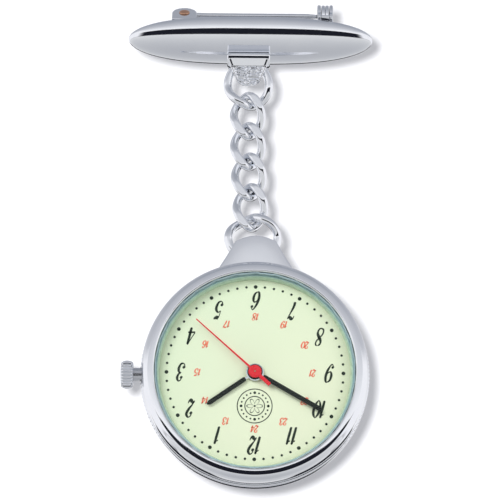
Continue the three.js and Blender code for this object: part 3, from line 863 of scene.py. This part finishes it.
# Chain: a ring, four curb links ground flat on their faces, and a wider ring.
chainLook = {
    "wire": 0.685,
    "ground": 1.22,
    "twist": math.radians(45),
    "rings": {
        "top_ring": ("top_ring", 3.33, 3.53, 0, 1, 2),
        "curb_link_1": ("link_1", 2.22, 3.4, 1, 1, 1),
        "curb_link_2": ("link_2", 2.22, 3.4, 1, 1, 1),
        "curb_link_3": ("link_3", 2.22, 3.4, 1, 1, 1),
        "curb_link_4": ("link_4", 2.22, 3.4, 1, 1, 1),
        "bottom_ring": ("bottom_ring", 3.92, 3.35, 1, 0, 2),
    },
}
for node, (body, halfWidth, halfHeight, top, low, ease) in chainLook["rings"].items():
    loop = {
        "halfWidth": halfWidth,
        "halfHeight": halfHeight,
        "topTwist": top * chainLook["twist"],
        "lowTwist": low * chainLook["twist"],
        "ease": ease,
    }
    ground = chainLook["ground"] if node.startswith("curb") else 0.0
    wire = wireLoop(loop, chainLook["wire"], ground=ground)
    name = node.replace("curb_link", "link") + "_wire"
    addPiece(name, [wire], linkChrome, body, [node],
             lifted(*middleOf(node)), crease=55)

# The bail: a strap folded round the top ring, wide at the bar and narrow at its tip.
bailLook = {
    "eyeY": -2.4,
    "eyeZ": -8.98,
    "frontY": -4.16,
    "wall": 0.38,
    "bend": 0.15,
    "topHalfWidth": 3.45,
    "tipHalfWidth": 1.5,
    "shoulderZ": -8.6,
    "tipZ": -12.75,
    "bandZ": -9.6,
    "footZ": -10.8,
    "flank": 0.07,
    "crumple": 0.14,
}


def bailShell(look):
    # side view: from behind the bar's rim under its dome, round a tight bend, down the front
    # leaf, round the tip and up behind the ring; the band below the bend leans back by up to
    # 24 degrees, and the leaf below it stands steeper and is crumpled between raised flanks
    y, z, front, bend = look["eyeY"], look["eyeZ"], look["frontY"], look["bend"]
    over = curveThrough([
        [y + 4.35, z + 1.03], [y + 3.7, z + 0.70], [y + 2.8, z + 0.62], [y + 1.9, z + 0.78],
        [y + 1.05, z + 1.25], [y, z + 1.58], [front + 0.6, z + 1.28], [front + bend, z + 1.15],
    ], 40)
    turn = np.linspace(math.pi / 2, math.pi, 10)[1:]
    fold = np.stack([front + bend * (1 + np.cos(turn)), z + 1.15 - bend * (1 - np.sin(turn))], -1)
    downZ = np.linspace(fold[-1, 1] - 0.03, look["tipZ"] + 0.7, 100)
    lean = 5 + 19 * np.clip((fold[-1, 1] - downZ) / 0.5, 0, 1)
    lean = np.where(downZ < look["bandZ"], 8, lean)
    lean = np.where(downZ < look["footZ"], 10, lean)
    drop = -np.diff(downZ, prepend=fold[-1, 1])
    downY = front + np.cumsum(drop * np.tan(np.radians(lean)))
    down = np.stack([downY, downZ], -1)
    tipTurn = np.linspace(math.pi, 2 * math.pi, 14)[1:]
    tip = np.stack([downY[-1] + 0.46 * (1 + np.cos(tipTurn)), downZ[-1] + 0.46 * np.sin(tipTurn)], -1)
    back = curveThrough([
        tip[-1], [y - 0.75, -11.3], [y + 0.15, z - 1.6], [y + 1.4, z - 0.85], [y + 2.9, z + 0.12],
    ], 30)[1:]
    path = np.vstack([over, fold, down, tip, back])
    share = np.clip((path[:, 1] - look["shoulderZ"]) / (look["tipZ"] - look["shoulderZ"]), 0, 1)
    halfWidth = look["topHalfWidth"] + (look["tipHalfWidth"] - look["topHalfWidth"]) * share
    rounding = np.clip((share - 0.72) / 0.28, 0, 0.97)
    halfWidth = halfWidth * np.sqrt(1 - rounding**2)
    u = np.linspace(-1, 1, 61)[None, :]
    zed = path[:, 1][:, None]
    place = np.arange(len(path))[:, None]
    first = len(over) + len(fold)
    frontOnly = ((place >= first) & (place < first + len(down) + 6)).astype(float)
    flank = look["flank"] * np.clip((np.abs(u) - 0.84) / 0.05, 0, 1)
    low = np.clip((look["bandZ"] - zed) / 0.25, 0, 1)
    x = halfWidth[:, None] * u
    streak = np.sin(7.4 * zed + 2.0 * np.sin(1.7 * x + 0.7) + 0.9 * x)
    streak = streak + 0.7 * np.sin(5.0 * zed - 2.4 * np.sin(2.1 * x) - 1.5 * x + 1.3)
    crumple = look["crumple"] * streak * low * np.clip((0.84 - np.abs(u)) / 0.1, 0, 1)
    relief = frontOnly * (flank + crumple - 0.08 * low * (1 - np.abs(u) ** 6))
    return strap(path, halfWidth, look["wall"], relief, 61)


bailX = middleOf("top_ring")[0]
addPiece("bail_strap", [bailShell(bailLook)], chrome, "pin_bar",
         ["bar_bail"], lifted(x=bailX), crease=45)
print("stage: chain and bail made")

# Watch case, in the head's own frame: the dial's front is y = 0 and +y goes to the back.
caseLook = {
    "steps": 256,
    "radius": 18.2,
    "inner": 16.8,
    "teeth": 168,
    "toothDepth": 0.12,
    "gripFrom": 0.80,
    "gripTo": 0.92,
}


def caseMiddleShell(look):
    # a turned band that narrows to the back; its widest part is milled at the two sides, where
    # r falls by the tooth depth between the teeth and |cos a| is large
    profile = softened([
        [look["inner"], 0.8], [17.5, 0.8], [17.55, 1.15], [18.0, 1.2], [look["radius"], 1.45],
        [look["radius"], 2.6], [18.1, 2.9], [17.75, 4.3], [17.5, 4.5], [17.4, 4.9],
        [look["inner"], 4.9],
    ], 0.12, 4)
    steps = look["teeth"] * 6
    angle = np.linspace(0, fullTurn, steps, endpoint=False)[None, :]
    groove = 0.5 + 0.5 * np.cos(look["teeth"] * angle)
    fade = look["gripTo"] - look["gripFrom"]
    grip = np.clip((np.abs(np.cos(angle)) - look["gripFrom"]) / fade, 0, 1)
    band = np.clip((profile[:, :1] - 18.0) / 0.15, 0, 1)
    return lathe(profile, steps, ripple=-look["toothDepth"] * band * grip * groove**1.5)


def bezelShell(look):
    # a polished rounded ring with a fine step inside and a thin rim at its foot
    profile = softened([
        [15.93, -2.28], [16.0, -2.42], [16.15, -2.51], [16.35, -2.50], [16.7, -2.44],
        [17.05, -2.34], [17.35, -2.13], [17.65, -1.75], [17.86, -1.2], [17.98, -0.5], [17.98, -0.12], [17.86, -0.02],
        [17.86, 0.12], [18.0, 0.22], [18.0, 0.5], [17.86, 0.66], [17.6, 0.72], [16.7, 0.72],
        [16.7, -0.12], [15.95, -0.12],
    ], 0.1, 5)
    return lathe(profile, look["steps"])


def caseBackShell(look):
    # a shallow turned lid: a stepped rim, a flat middle and two fine grooves
    profile = softened([
        [0, 5.75], [15.6, 5.75], [15.9, 4.3], [16.7, 4.3], [16.7, 5.2], [17.5, 5.2],
        [17.6, 5.35], [17.5, 5.65], [16.9, 6.05], [15.6, 6.35], [14.7, 6.55], [14.2, 6.6],
        [12.6, 6.6], [12.5, 6.5], [12.3, 6.5], [12.2, 6.6], [11.9, 6.6], [11.8, 6.5],
        [11.6, 6.5], [11.5, 6.6], [0, 6.6],
    ], 0.06, 4, closed=False)
    return lathe(profile, look["steps"], closed=False)


addPiece("case_band", [caseMiddleShell(caseLook)], chrome, "watch_head",
         ["case_middle"], toHead, crease=50)
addPiece("bezel_ring", [bezelShell(caseLook)], chrome, "watch_head",
         ["bezel"], toHead, crease=50)
addPiece("back_lid", [caseBackShell(caseLook)], backSteel, "watch_head",
         ["case_back"], toHead)

lugLook = {
    "side": [(6.3, 16.75), (4.6, 19.4), (3.3, 21.75)],
    "apex": 22.72,
    "front": 0.7,
    "back": 1.22,
    "dome": 0.42,
    "roll": 0.34,
    "hookHalfWidth": 1.2,
    "footHalfWidth": 2.0,
    "wall": 0.78,
}


def hoodShell(look):
    # across (u) and up (t): the side line is a curve with one handle, x is its width times u,
    # z is its height plus a share of the round seat below and the round top above, and the
    # front bulges by dome (1 - |u|^2.4) and rolls back along its rim
    u = np.linspace(-1, 1, 61)[None, :]
    t = np.r_[np.linspace(0, 0.94, 44), np.linspace(0.945, 1, 16)][:, None]
    foot, handle, shoulder = (np.array(point) for point in look["side"])
    side = (1 - t) ** 2 * foot + 2 * t * (1 - t) * handle + t**2 * shoulder
    x = side[:, :1] * u
    seat = np.sqrt(17.9**2 - (foot[0] * u) ** 2) - foot[1]
    top = (look["apex"] - shoulder[1]) * (1 - np.abs(u) ** 1.8)
    z = side[:, 1:] + (1 - t) * seat + t * top
    rim = np.maximum(np.clip((np.abs(u) - 0.93) / 0.07, 0, 1), np.clip((t - 0.95) / 0.05, 0, 1))
    bulge = look["dome"] * (1 - np.abs(u) ** 2.4) * (1 - 0.5 * t**4)
    front = look["front"] - bulge + look["roll"] * rim**2.5
    behind = look["back"] + 0 * front
    outer = np.stack([x, front, z], -1)
    inner = np.stack([x * 0.985, behind, z], -1)
    return surface(np.concatenate([outer, inner[:, ::-1]], 1), zipEnds=True)


def hookShell(look):
    # behind the hood a strap goes back over the ring and down to the case
    path = softened([[1.0, 20.8], [3.62, 20.8], [3.62, 17.0]], 0.7, 9, closed=False)
    run = np.linspace(0, 1, 60)
    at = np.linspace(0, 1, len(path))
    line = np.stack([np.interp(run, at, path[:, 0]), np.interp(run, at, path[:, 1])], -1)
    width = look["hookHalfWidth"] + (look["footHalfWidth"] - look["hookHalfWidth"]) * np.clip(
        (run - 0.45) / 0.3, 0, 1)
    step = np.linalg.norm(np.diff(line, axis=0), axis=1)
    apart = np.r_[True, step > 1e-6]  # stations that repeat an end point have no direction
    return strap(line[apart], width[apart], look["wall"], across=21)


addPiece("lug_hood", [hoodShell(lugLook), hookShell(lugLook)], chrome, "watch_head",
         ["case_lug"], toHead)

crownLook = {"x": -19.25, "y": 2.1, "length": 2.05, "radius": 2.25, "flutes": 24, "cut": 0.3}


def crownShell(look):
    # a knob with round-bottomed flutes: r falls by the cut between them, only on its side wall
    end, radius = look["length"], look["radius"]
    profile = softened([
        [0, end + 0.06], [0.7, end + 0.04], [1.35, end], [1.42, end - 0.06], [1.55, end - 0.06],
        [1.62, end - 0.02], [radius - 0.34, end - 0.1], [radius - 0.1, end - 0.4],
        [radius, end - 0.85], [radius, 0.85], [radius - 0.1, 0.4], [radius - 0.34, 0.08],
        [1.5, 0], [1.5, 1.45], [0, 1.45],
    ], 0.08, 4, closed=False)
    steps = look["flutes"] * 12
    angle = np.linspace(0, fullTurn, steps, endpoint=False)[None, :]
    valley = np.abs(np.cos(look["flutes"] / 2 * angle)) ** 3
    side = np.clip((profile[:, :1] - radius + 0.4) / 0.3, 0, 1)
    return lathe(profile, steps, closed=False, ripple=-look["cut"] * side * valley)


def atCrown(points):
    x, y, z = points.T
    along = crownLook["x"] - y
    return toHead(np.stack([along, crownLook["y"] + x, z], -1))


addPiece("crown_knob", [crownShell(crownLook)], chrome, "crown",
         ["crown"], atCrown)

glassProfile = softened(
    [[0, -2.35], [15.5, -2.35], [15.7, -2.2], [15.7, -1.35], [0, -1.35]], 0.06, 4, closed=False
)
addPiece("window_pane", [lathe(glassProfile, 192, closed=False)], glass, "watch_head",
         ["crystal"], toHead)
flangeProfile = softened(
    [[15.1, -0.06], [15.12, -0.2], [15.45, -1.28], [15.9, -1.28], [15.9, -0.06]], 0.06, 4
)
addPiece("dial_slope", [lathe(flangeProfile, 256)], flangeTint, "watch_head",
         ["dial_flange"], toHead)
print("stage: case made")

# Dial: the painted disc and its print, which is a thin layer of ink on it.
dialLook = {
    "radius": 16.4,
    "ink": 0.03,
    "dotRing": 14.0,
    "hourDot": 0.30,
    "minuteDot": 0.2,
    "numeralRing": 11.75,
    "numeralHeight": 2.85,
    "slant": 0.21,
    "narrow": 0.64,
    "weight": 0.088,
    "hair": 0.028,
    "smallRing": 9.1,
    "smallHeight": 1.15,
    "smallWeight": 0.10,
    "smallHair": 0.05,
}
dialEdge = dialLook["radius"]
dialDisc = softened([[0.75, 0], [dialEdge, 0], [dialEdge, 0.4], [0.75, 0.4]], 0.04, 3)
addPiece("dial_plate", [lathe(dialDisc, 192)], dialPaint, "watch_head",
         ["dial"], toHead)

# Each figure: strokes of (x, y, weight) in a box one high, weight 0 a hairline and 1 the full
# stem, then round ends of (x, y, size).
figures = {
    "0": ([[(0.31, 1, 0), (0.08, 0.72, 0.9), (0.05, 0.35, 1), (0.25, 0, 0.05),
            (0.50, 0.26, 0.9), (0.54, 0.68, 1), (0.31, 1, 0)]], []),
    "1": ([[(0.36, 1, 0.75), (0.33, 0.6, 1), (0.30, 0.3, 1), (0.28, 0, 0.85)],
           [(0.36, 0.97, 0.2), (0.26, 0.84, 0.1), (0.12, 0.78, 0.1)]], []),
    "2": ([[(0.11, 0.76, 0.3), (0.14, 0.92, 0.1), (0.32, 1, 0.2), (0.52, 0.82, 0.95),
            (0.44, 0.58, 0.95), (0.22, 0.32, 0.35), (0.04, 0.07, 0.05)],
           [(0.04, 0.06, 0.1), (0.16, 0.16, 0.6), (0.36, 0.05, 0.95), (0.50, 0.05, 0.5),
            (0.58, 0.22, 0)]], [(0.15, 0.76, 0.085)]),
    "3": ([[(0.12, 0.82, 0.2), (0.18, 0.96, 0.1), (0.34, 1, 0.2), (0.50, 0.80, 0.95),
            (0.42, 0.60, 0.5), (0.24, 0.53, 0)],
           [(0.24, 0.53, 0), (0.42, 0.50, 0.4), (0.54, 0.30, 1), (0.44, 0.06, 0.6),
            (0.24, 0, 0.05), (0.08, 0.10, 0.1), (0.07, 0.22, 0.2)]],
          [(0.15, 0.80, 0.08), (0.11, 0.22, 0.085)]),
    "4": ([[(0.46, 1, 0.1), (0.24, 0.62, 0.1), (0.02, 0.30, 0.15)],
           [(0.02, 0.28, 0.25), (0.32, 0.28, 0.25), (0.62, 0.28, 0.25)],
           [(0.46, 0.98, 0.8), (0.44, 0.5, 1), (0.41, 0, 1)]], []),
    "5": ([[(0.16, 0.97, 0.7), (0.34, 0.93, 0.95), (0.56, 1, 0.3)],
           [(0.16, 0.95, 0.05), (0.12, 0.75, 0.05), (0.10, 0.54, 0.05)],
           [(0.10, 0.54, 0), (0.30, 0.63, 0.2), (0.52, 0.42, 1), (0.46, 0.12, 0.8),
            (0.24, 0, 0.05), (0.08, 0.09, 0.1), (0.06, 0.20, 0.2)]], [(0.10, 0.20, 0.085)]),
    "6": ([[(0.53, 0.86, 0.1), (0.46, 0.98, 0.05), (0.32, 0.98, 0.2), (0.12, 0.68, 0.85),
            (0.05, 0.32, 1), (0.14, 0.05, 0.6), (0.28, 0, 0.05), (0.48, 0.12, 0.7),
            (0.52, 0.38, 0.95), (0.38, 0.58, 0.2), (0.20, 0.52, 0.05), (0.08, 0.36, 0)]],
          [(0.50, 0.84, 0.08)]),
    "7": ([[(0.06, 0.80, 0.05), (0.14, 0.97, 0.3), (0.30, 0.95, 0.95), (0.46, 0.88, 0.6),
            (0.60, 0.98, 0)],
           [(0.60, 0.98, 0.05), (0.42, 0.62, 0.35), (0.26, 0.28, 0.9), (0.22, 0, 1)]], []),
    "8": ([[(0.34, 1, 0.1), (0.14, 0.90, 0.5), (0.14, 0.70, 0.8), (0.34, 0.50, 0.9),
            (0.52, 0.28, 0.8), (0.46, 0.06, 0.4), (0.27, 0, 0.1), (0.07, 0.10, 0.4),
            (0.08, 0.34, 0.4), (0.30, 0.54, 0.05), (0.50, 0.74, 0.4), (0.50, 0.92, 0.3),
            (0.34, 1, 0.1)]], []),
}


def halfTurned(figure):
    strokes, ends = figure
    flipped = [[(0.6 - x, 1 - y, w) for x, y, w in stroke] for stroke in strokes]
    return flipped, [(0.6 - x, 1 - y, size) for x, y, size in ends]


figures["9"] = halfTurned(figures["6"])


def inkStroke(points, stem, hair, samples):
    # a flat ribbon along the curve, as wide at each place as its weight says; both ends rounded
    line = curveThrough(points, samples)
    middle, weight = line[:, :2], np.clip(line[:, 2], 0, 1.05)
    along = np.gradient(middle, axis=0)
    along /= np.linalg.norm(along, axis=1, keepdims=True) + 1e-9
    side = np.stack([-along[:, 1], along[:, 0]], -1)
    end = np.clip(np.minimum(np.arange(samples), np.arange(samples)[::-1]) / 2.0, 0.35, 1)
    half = ((hair + (stem - hair) * weight) * end)[:, None]
    return middle + side * half, middle - side * half


def figureShells(text, centre, height, look, small=False):
    # figures side by side, slanted, standing the other way up because the watch hangs by its 6
    stem = look["smallWeight" if small else "weight"]
    hair = look["smallHair" if small else "hair"]
    samples = 18 if small else 44
    advance = [0.42 if digit == "1" else 0.60 for digit in text]
    left = -sum(advance) / 2
    ink = look["ink"]
    narrow = 0.85 if small else look["narrow"]

    def stand(flat, y):
        slanted = narrow * flat[:, 0] + look["slant"] * (flat[:, 1] - 0.5)
        x = centre[0] - slanted * height
        z = centre[1] - (flat[:, 1] - 0.5) * height
        return np.column_stack([x, np.full(len(flat), y), z])

    shells = []
    for digit, room in zip(text, advance):
        shift = np.array([left - (0.08 if digit == "1" else 0.0), 0])
        strokes, ends = figures[digit]
        for stroke in strokes:
            one, other = inkStroke(stroke, stem / narrow**0.5, hair, samples)
            one, other = one + shift, other + shift
            rows = [stand(one, -ink), stand(other, -ink), stand(other, 0.01), stand(one, 0.01)]
            shells.append(surface(np.stack(rows, 1), capEnds=True))
        for x, y, size in ends:
            blob = circle(size, 16) * [0.95 / narrow, 1] + [x, y] + shift
            shells.append(surface(np.stack([stand(blob, -ink - 0.001), stand(blob, 0.01)]),
                                  capEnds=True))
        left += room
    return shells


def placeAt(turn, radius):
    # clockwise from 12, which is at the bottom of the hanging watch
    return np.array([-radius * math.sin(turn), -radius * math.cos(turn)])


def dotShells(look):
    shells = []
    for minute in range(60):
        x, z = placeAt(math.radians(6 * minute), look["dotRing"])
        size = look["hourDot"] if minute % 5 == 0 else look["minuteDot"]
        dot = disc(size, -look["ink"], 0.01, 20)
        shells.append(moved(dot, lifted(x=x, z=z)))
    return shells


def lineRing(radius, halfWidth, centre, ink, steps=96):
    profile = [[radius - halfWidth, -ink], [radius + halfWidth, -ink],
               [radius + halfWidth, 0.01], [radius - halfWidth, 0.01]]
    return moved(lathe(profile, steps), lifted(x=centre[0], z=centre[1]))


roundelLook = {"below": 5.4, "outer": 2.75, "inner": 1.55, "line": 0.07, "beads": 20, "petals": 6}


def roundelShells(look, ink):
    # a plain ornament: two rings with beads between them and a rosette, whose petals are
    # r = a |cos(3 t)| drawn as a closed line
    centre = placeAt(0, look["below"])
    shells = [lineRing(look["outer"], look["line"], centre, ink),
              lineRing(look["inner"], look["line"], centre, ink)]
    between = (look["outer"] + look["inner"]) / 2
    for bead in range(look["beads"]):
        x, z = placeAt(fullTurn * bead / look["beads"], between)
        size = 0.22 if bead % 5 == 0 else 0.14
        shells.append(moved(disc(size, -ink, 0.01, 14),
                            lifted(x=x + centre[0], z=z + centre[1])))
    t = np.linspace(0, fullTurn, 181)
    reach = 0.35 + 0.95 * np.abs(np.cos(look["petals"] / 2 * t))
    inside, outside = reach - 0.13, reach
    rows = []
    for radius, y in ((outside, -ink), (inside, -ink), (inside, 0.01), (outside, 0.01)):
        rows.append(np.column_stack([radius * np.cos(t) + centre[0], np.full(len(t), y),
                                     radius * np.sin(t) + centre[1]])[:-1])
    shells.append(surface(np.stack(rows), wrapRows=True))
    shells.append(moved(disc(0.16, -ink, 0.01, 16), lifted(x=centre[0], z=centre[1])))
    return shells


blackPrint = dotShells(dialLook) + roundelShells(roundelLook, dialLook["ink"])
redPrint = []
for hour in range(1, 13):
    turn = math.radians(30 * hour)
    blackPrint += figureShells(str(hour), placeAt(turn, dialLook["numeralRing"]),
                               dialLook["numeralHeight"], dialLook)
    redPrint += figureShells(str(hour + 12), placeAt(turn, dialLook["smallRing"]),
                             dialLook["smallHeight"], dialLook, small=True)
addPiece("dial_figures", blackPrint, blackInk, "watch_head", place=toHead, crease=30)
addPiece("dial_small_figures", redPrint, redInk, "watch_head", place=toHead, crease=30)
print("stage: dial printed")

# Hands: the blade is drawn along the line to 12 and turned to its place.
handLook = {
    "hour": {"turn": 55, "y": -0.5, "thick": 0.14, "start": 1.8, "end": 9.2, "half": 0.375},
    "minute": {"turn": 300, "y": -0.78, "thick": 0.14, "start": 1.5, "end": 12.3, "half": 0.375},
    "second": {"turn": 132, "y": -1.06, "thick": 0.11},
}


def pointed(look):
    # turned clockwise from 12: across = (-cos t, sin t) and outward = (-sin t, -cos t)
    t = math.radians(look["turn"])

    def place(points):
        across, y, out = points.T
        x = -out * math.sin(t) - across * math.cos(t)
        z = -out * math.cos(t) + across * math.sin(t)
        return toHead(np.stack([x, y, z], -1))

    return place


def batonShell(look):
    # a flat bar with a rounded inner end and a blunt point
    half, start, end = look["half"], look["start"], look["end"]
    corners = [[-half * 0.75, start], [half * 0.75, start], [half, start + 0.22],
               [half, end - 0.45], [half * 0.3, end], [-half * 0.3, end], [-half, end - 0.45],
               [-half, start + 0.22]]
    outline = evenLoop(softened(corners, 0.12, 4), 160)
    return slab(outline, look["y"], look["y"] + look["thick"], 0.05,
                hole=(0, (start + end) / 2, 0))


def bossShell(look, radius, bore, lift=0.0):
    low = look["y"] - lift
    profile = softened([[bore, low], [radius, low], [radius, look["y"] + look["thick"]],
                        [bore, look["y"] + look["thick"]]], 0.04, 4)
    return lathe(profile, 64)


def neckShell(look, inner):
    outline = evenLoop([[-0.16, inner], [0.16, inner], [0.16, look["start"] + 0.3],
                        [-0.16, look["start"] + 0.3]], 40)
    return slab(outline, look["y"] + 0.02, look["y"] + look["thick"] - 0.02, 0.02,
                hole=(0, (inner + look["start"]) / 2, 0))


hour, minute, second = handLook["hour"], handLook["minute"], handLook["second"]
addPiece("hour_blade", [batonShell(hour)], handBlack, "hour_hand",
         ["hour_hand"], pointed(hour))
addPiece("hour_boss", [bossShell(hour, 1.4, 0.62), neckShell(hour, 1.2)], pinSteel,
         "hour_hand", place=pointed(hour))
addPiece("minute_blade", [batonShell(minute), bossShell(minute, 1.22, 0.9)], handBlack,
         "minute_hand", ["minute_hand"], pointed(minute))
addPiece("minute_boss", [bossShell(minute, 0.9, 0.36, -0.01), neckShell(minute, 1.1)], pinSteel,
         "minute_hand", place=pointed(minute))


def needleShell(look):
    # thin and slightly tapered to the tip, with a broad flat tail
    corners = [[-0.16, 0.9], [0.16, 0.9], [0.085, 12.7], [-0.085, 12.7]]
    tail = [[-0.3, -3.2], [0.3, -3.2], [0.3, -0.8], [-0.3, -0.8]]
    low, high = look["y"], look["y"] + look["thick"]
    shells = [slab(evenLoop(softened(corners, 0.05, 3), 120), low, high, 0.03, hole=(0, 6.8, 0)),
              slab(evenLoop(softened(tail, 0.08, 3), 80), low, high, 0.04, hole=(0, -2, 0))]
    hub = softened([[0, low - 0.1], [0.75, low - 0.1], [1.0, low - 0.02], [1.05, low + 0.04],
                    [1.05, high], [0, high]], 0.05, 4, closed=False)
    return shells + [lathe(hub, 64, closed=False)]


addPiece("second_needle", needleShell(second), handRed, "second_hand",
         ["second_hand"], pointed(second))
arborTip = softened([[0, -1.22], [0.14, -1.2], [0.16, -1.1], [0, -1.1]], 0.02, 3, closed=False)
addPiece("second_arbor_tip", [lathe(arborTip, 24, closed=False)], copper, "second_hand",
         place=pointed(second))
print("stage: hands made")

# Studio: a pale floor, a pale backdrop, soft lights and a camera.
studioLook = {
    "floorDrop": 0.22,
    "wallBehind": 0.035,
    "pale": (0.86, 0.86, 0.87, 1),
    "keyPower": 2.7,
    "fillPower": 1.1,
    "flashPower": 3.8,
    "flashSize": 0.028,
    "flashOffset": (-0.023, 0, 0.018),
    "floorGlow": 0.4,
}


def paleFinish(name, hiddenFromBehind):
    glow = 0.0 if hiddenFromBehind else studioLook["floorGlow"]
    finish = Finish(name, {"Roughness": 0.9, "Specular IOR Level": 0.1, "Emission Strength": glow})
    cloud = finish.noise(3, 2)
    finish.put(colour=finish.tinted(cloud * 0.1, studioLook["pale"], (0.80, 0.80, 0.81, 1)))
    if hiddenFromBehind:
        behind = finish.add("NewGeometry", output="Backfacing")
        clear = finish.add("BsdfTransparent")
        solid = Wire(finish, finish.shader.outputs[0])
        mixed = finish.add("MixShader", None, {0: behind, 1: solid, 2: clear})
        finish.feed(finish.tree.nodes["Material Output"].inputs["Surface"], mixed)
    return finish.material


def stageSheet(name, corners, finish):
    mesh = bpy.data.meshes.new(name)
    mesh.from_pydata(corners, [], [(0, 1, 2, 3)])
    mesh.materials.append(finish)
    sheet = bpy.data.objects.new(name, mesh)
    bpy.context.scene.collection.objects.link(sheet)
    return sheet


lowZ = cadBox[0].z - studioLook["floorDrop"]
wallY = cadBox[1].y + studioLook["wallBehind"]
floor = stageSheet("pale_floor", [(-3, -3, lowZ), (3, -3, lowZ), (3, 3, lowZ), (-3, 3, lowZ)],
                   paleFinish("paleFloor", False))
wall = stageSheet("pale_backdrop", [(-0.7, wallY, lowZ), (0.7, wallY, lowZ),
                                    (0.7, wallY, 0.9), (-0.7, wallY, 0.9)],
                  paleFinish("paleBackdrop", True))
for sheet in (floor, wall):  # the chrome mirrors the studio light alone
    sheet.visible_diffuse = False
    sheet.visible_glossy = False
    sheet.visible_transmission = False
    sheet.visible_shadow = False

skyLook = {
    # how bright the studio is by height, from straight down (0) to straight up (1)
    "heights": [
        (0.00, (0.48, 0.49, 0.52)), (0.14, (0.62, 0.63, 0.65)), (0.272, (0.76, 0.765, 0.775)),
        (0.275, (0.012, 0.013, 0.02)), (0.478, (0.012, 0.013, 0.02)), (0.483, (1.0, 1.0, 1.02)),
        (0.56, (0.86, 0.87, 0.90)), (0.70, (0.58, 0.59, 0.63)), (1.00, (0.34, 0.36, 0.41)),
    ],
    "sides": (0.95, 0.95, 0.98, 1),
    "strength": 1.0,
}


def makeSky(look):
    # chrome sees a bright belt above a dark one, and bright panels to the left and right;
    # the camera sees plain white
    world = bpy.data.worlds.new("studioLight")
    bpy.context.scene.world = world
    world.use_nodes = True
    sky = Nodes(world.node_tree)
    back = world.node_tree.nodes["Background"]
    output = world.node_tree.nodes["World Output"]
    x, y, z = sky.axes(sky.add("TexCoord", output="Generated"))
    belt = sky.add("ValToRGB", {"stops": look["heights"]}, {"Fac": z * 0.5 + 0.5})
    side = abs(x).between(0.55, 0.72) * (1 - abs(z + 0.05).between(0.3, 0.5))
    lit = sky.tinted(side, belt, look["sides"])
    sky.feed(back.inputs["Color"], lit)
    back.inputs["Strength"].default_value = look["strength"]
    white = sky.add("Background", None, {"Color": (1, 1, 1, 1), "Strength": 1.0})
    seen = sky.add("LightPath", output="Is Camera Ray")
    mixed = sky.add("MixShader", None, {0: seen, 1: Wire(sky, back.outputs[0]), 2: white})
    sky.feed(output.inputs["Surface"], mixed)


makeSky(skyLook)


def aimed(thing, place, target):
    towards = (np.array(target) - np.array(place)).tolist()
    thing.location = place
    thing.rotation_mode = "QUATERNION"
    thing.rotation_quaternion = mathutils.Vector(towards).to_track_quat("-Z", "Y")


def litObjects(name, thing, state):
    # a light's own list: only this thing, or everything but it
    chosen = bpy.data.collections.new(name)
    chosen.objects.link(thing)
    chosen.collection_objects[0].light_linking.link_state = state
    return chosen


def softLight(name, place, target, size, power, lit):
    data = bpy.data.lights.new(name, "AREA")
    data.shape = "DISK"
    data.size = size
    data.energy = power
    light = bpy.data.objects.new(name, data)
    light.visible_glossy = False
    light.light_linking.receiver_collection = lit
    bpy.context.scene.collection.objects.link(light)
    aimed(light, place, target)
    return light


cameraLook = {
    "lens": 300,
    "target": (0.0002, -0.0024, -0.0401),
    "elevation": math.radians(-15),
    "roll": math.radians(0.5),
    "frameWidth": 0.080,
}
distance = cameraLook["lens"] / 36 * cameraLook["frameWidth"]
target = np.array(cameraLook["target"])
back = np.array([0, -math.cos(cameraLook["elevation"]), math.sin(cameraLook["elevation"])])
cameraPlace = target + back * distance
cameraData = bpy.data.cameras.new("studioCamera")
cameraData.lens = cameraLook["lens"]
cameraData.sensor_width = 36
cameraData.clip_start = 0.01
cameraData.clip_end = 20
camera = bpy.data.objects.new("studioCamera", cameraData)
bpy.context.scene.collection.objects.link(camera)
bpy.context.scene.camera = camera
aimed(camera, cameraPlace.tolist(), cameraLook["target"])
tilt = mathutils.Matrix.Rotation(cameraLook["roll"], 3, "Z").to_quaternion()
camera.rotation_quaternion = camera.rotation_quaternion @ tilt

allButWall = litObjects("allButWall", wall, "EXCLUDE")
wallOnly = litObjects("wallOnly", wall, "INCLUDE")
softLight("key", (-0.35, -0.55, 0.25), (0, 0, -0.05), 0.35, studioLook["keyPower"], allButWall)
softLight("fill", (0.45, -0.5, 0.0), (0, 0, -0.05), 0.4, studioLook["fillPower"], allButWall)
flashPlace = cameraPlace + np.array(studioLook["flashOffset"])
softLight("frontFlash", flashPlace.tolist(), (0, 0.05, -0.05), studioLook["flashSize"],
          studioLook["flashPower"], wallOnly)
bpy.context.scene.view_settings.view_transform = "Standard"
print("stage: studio set")
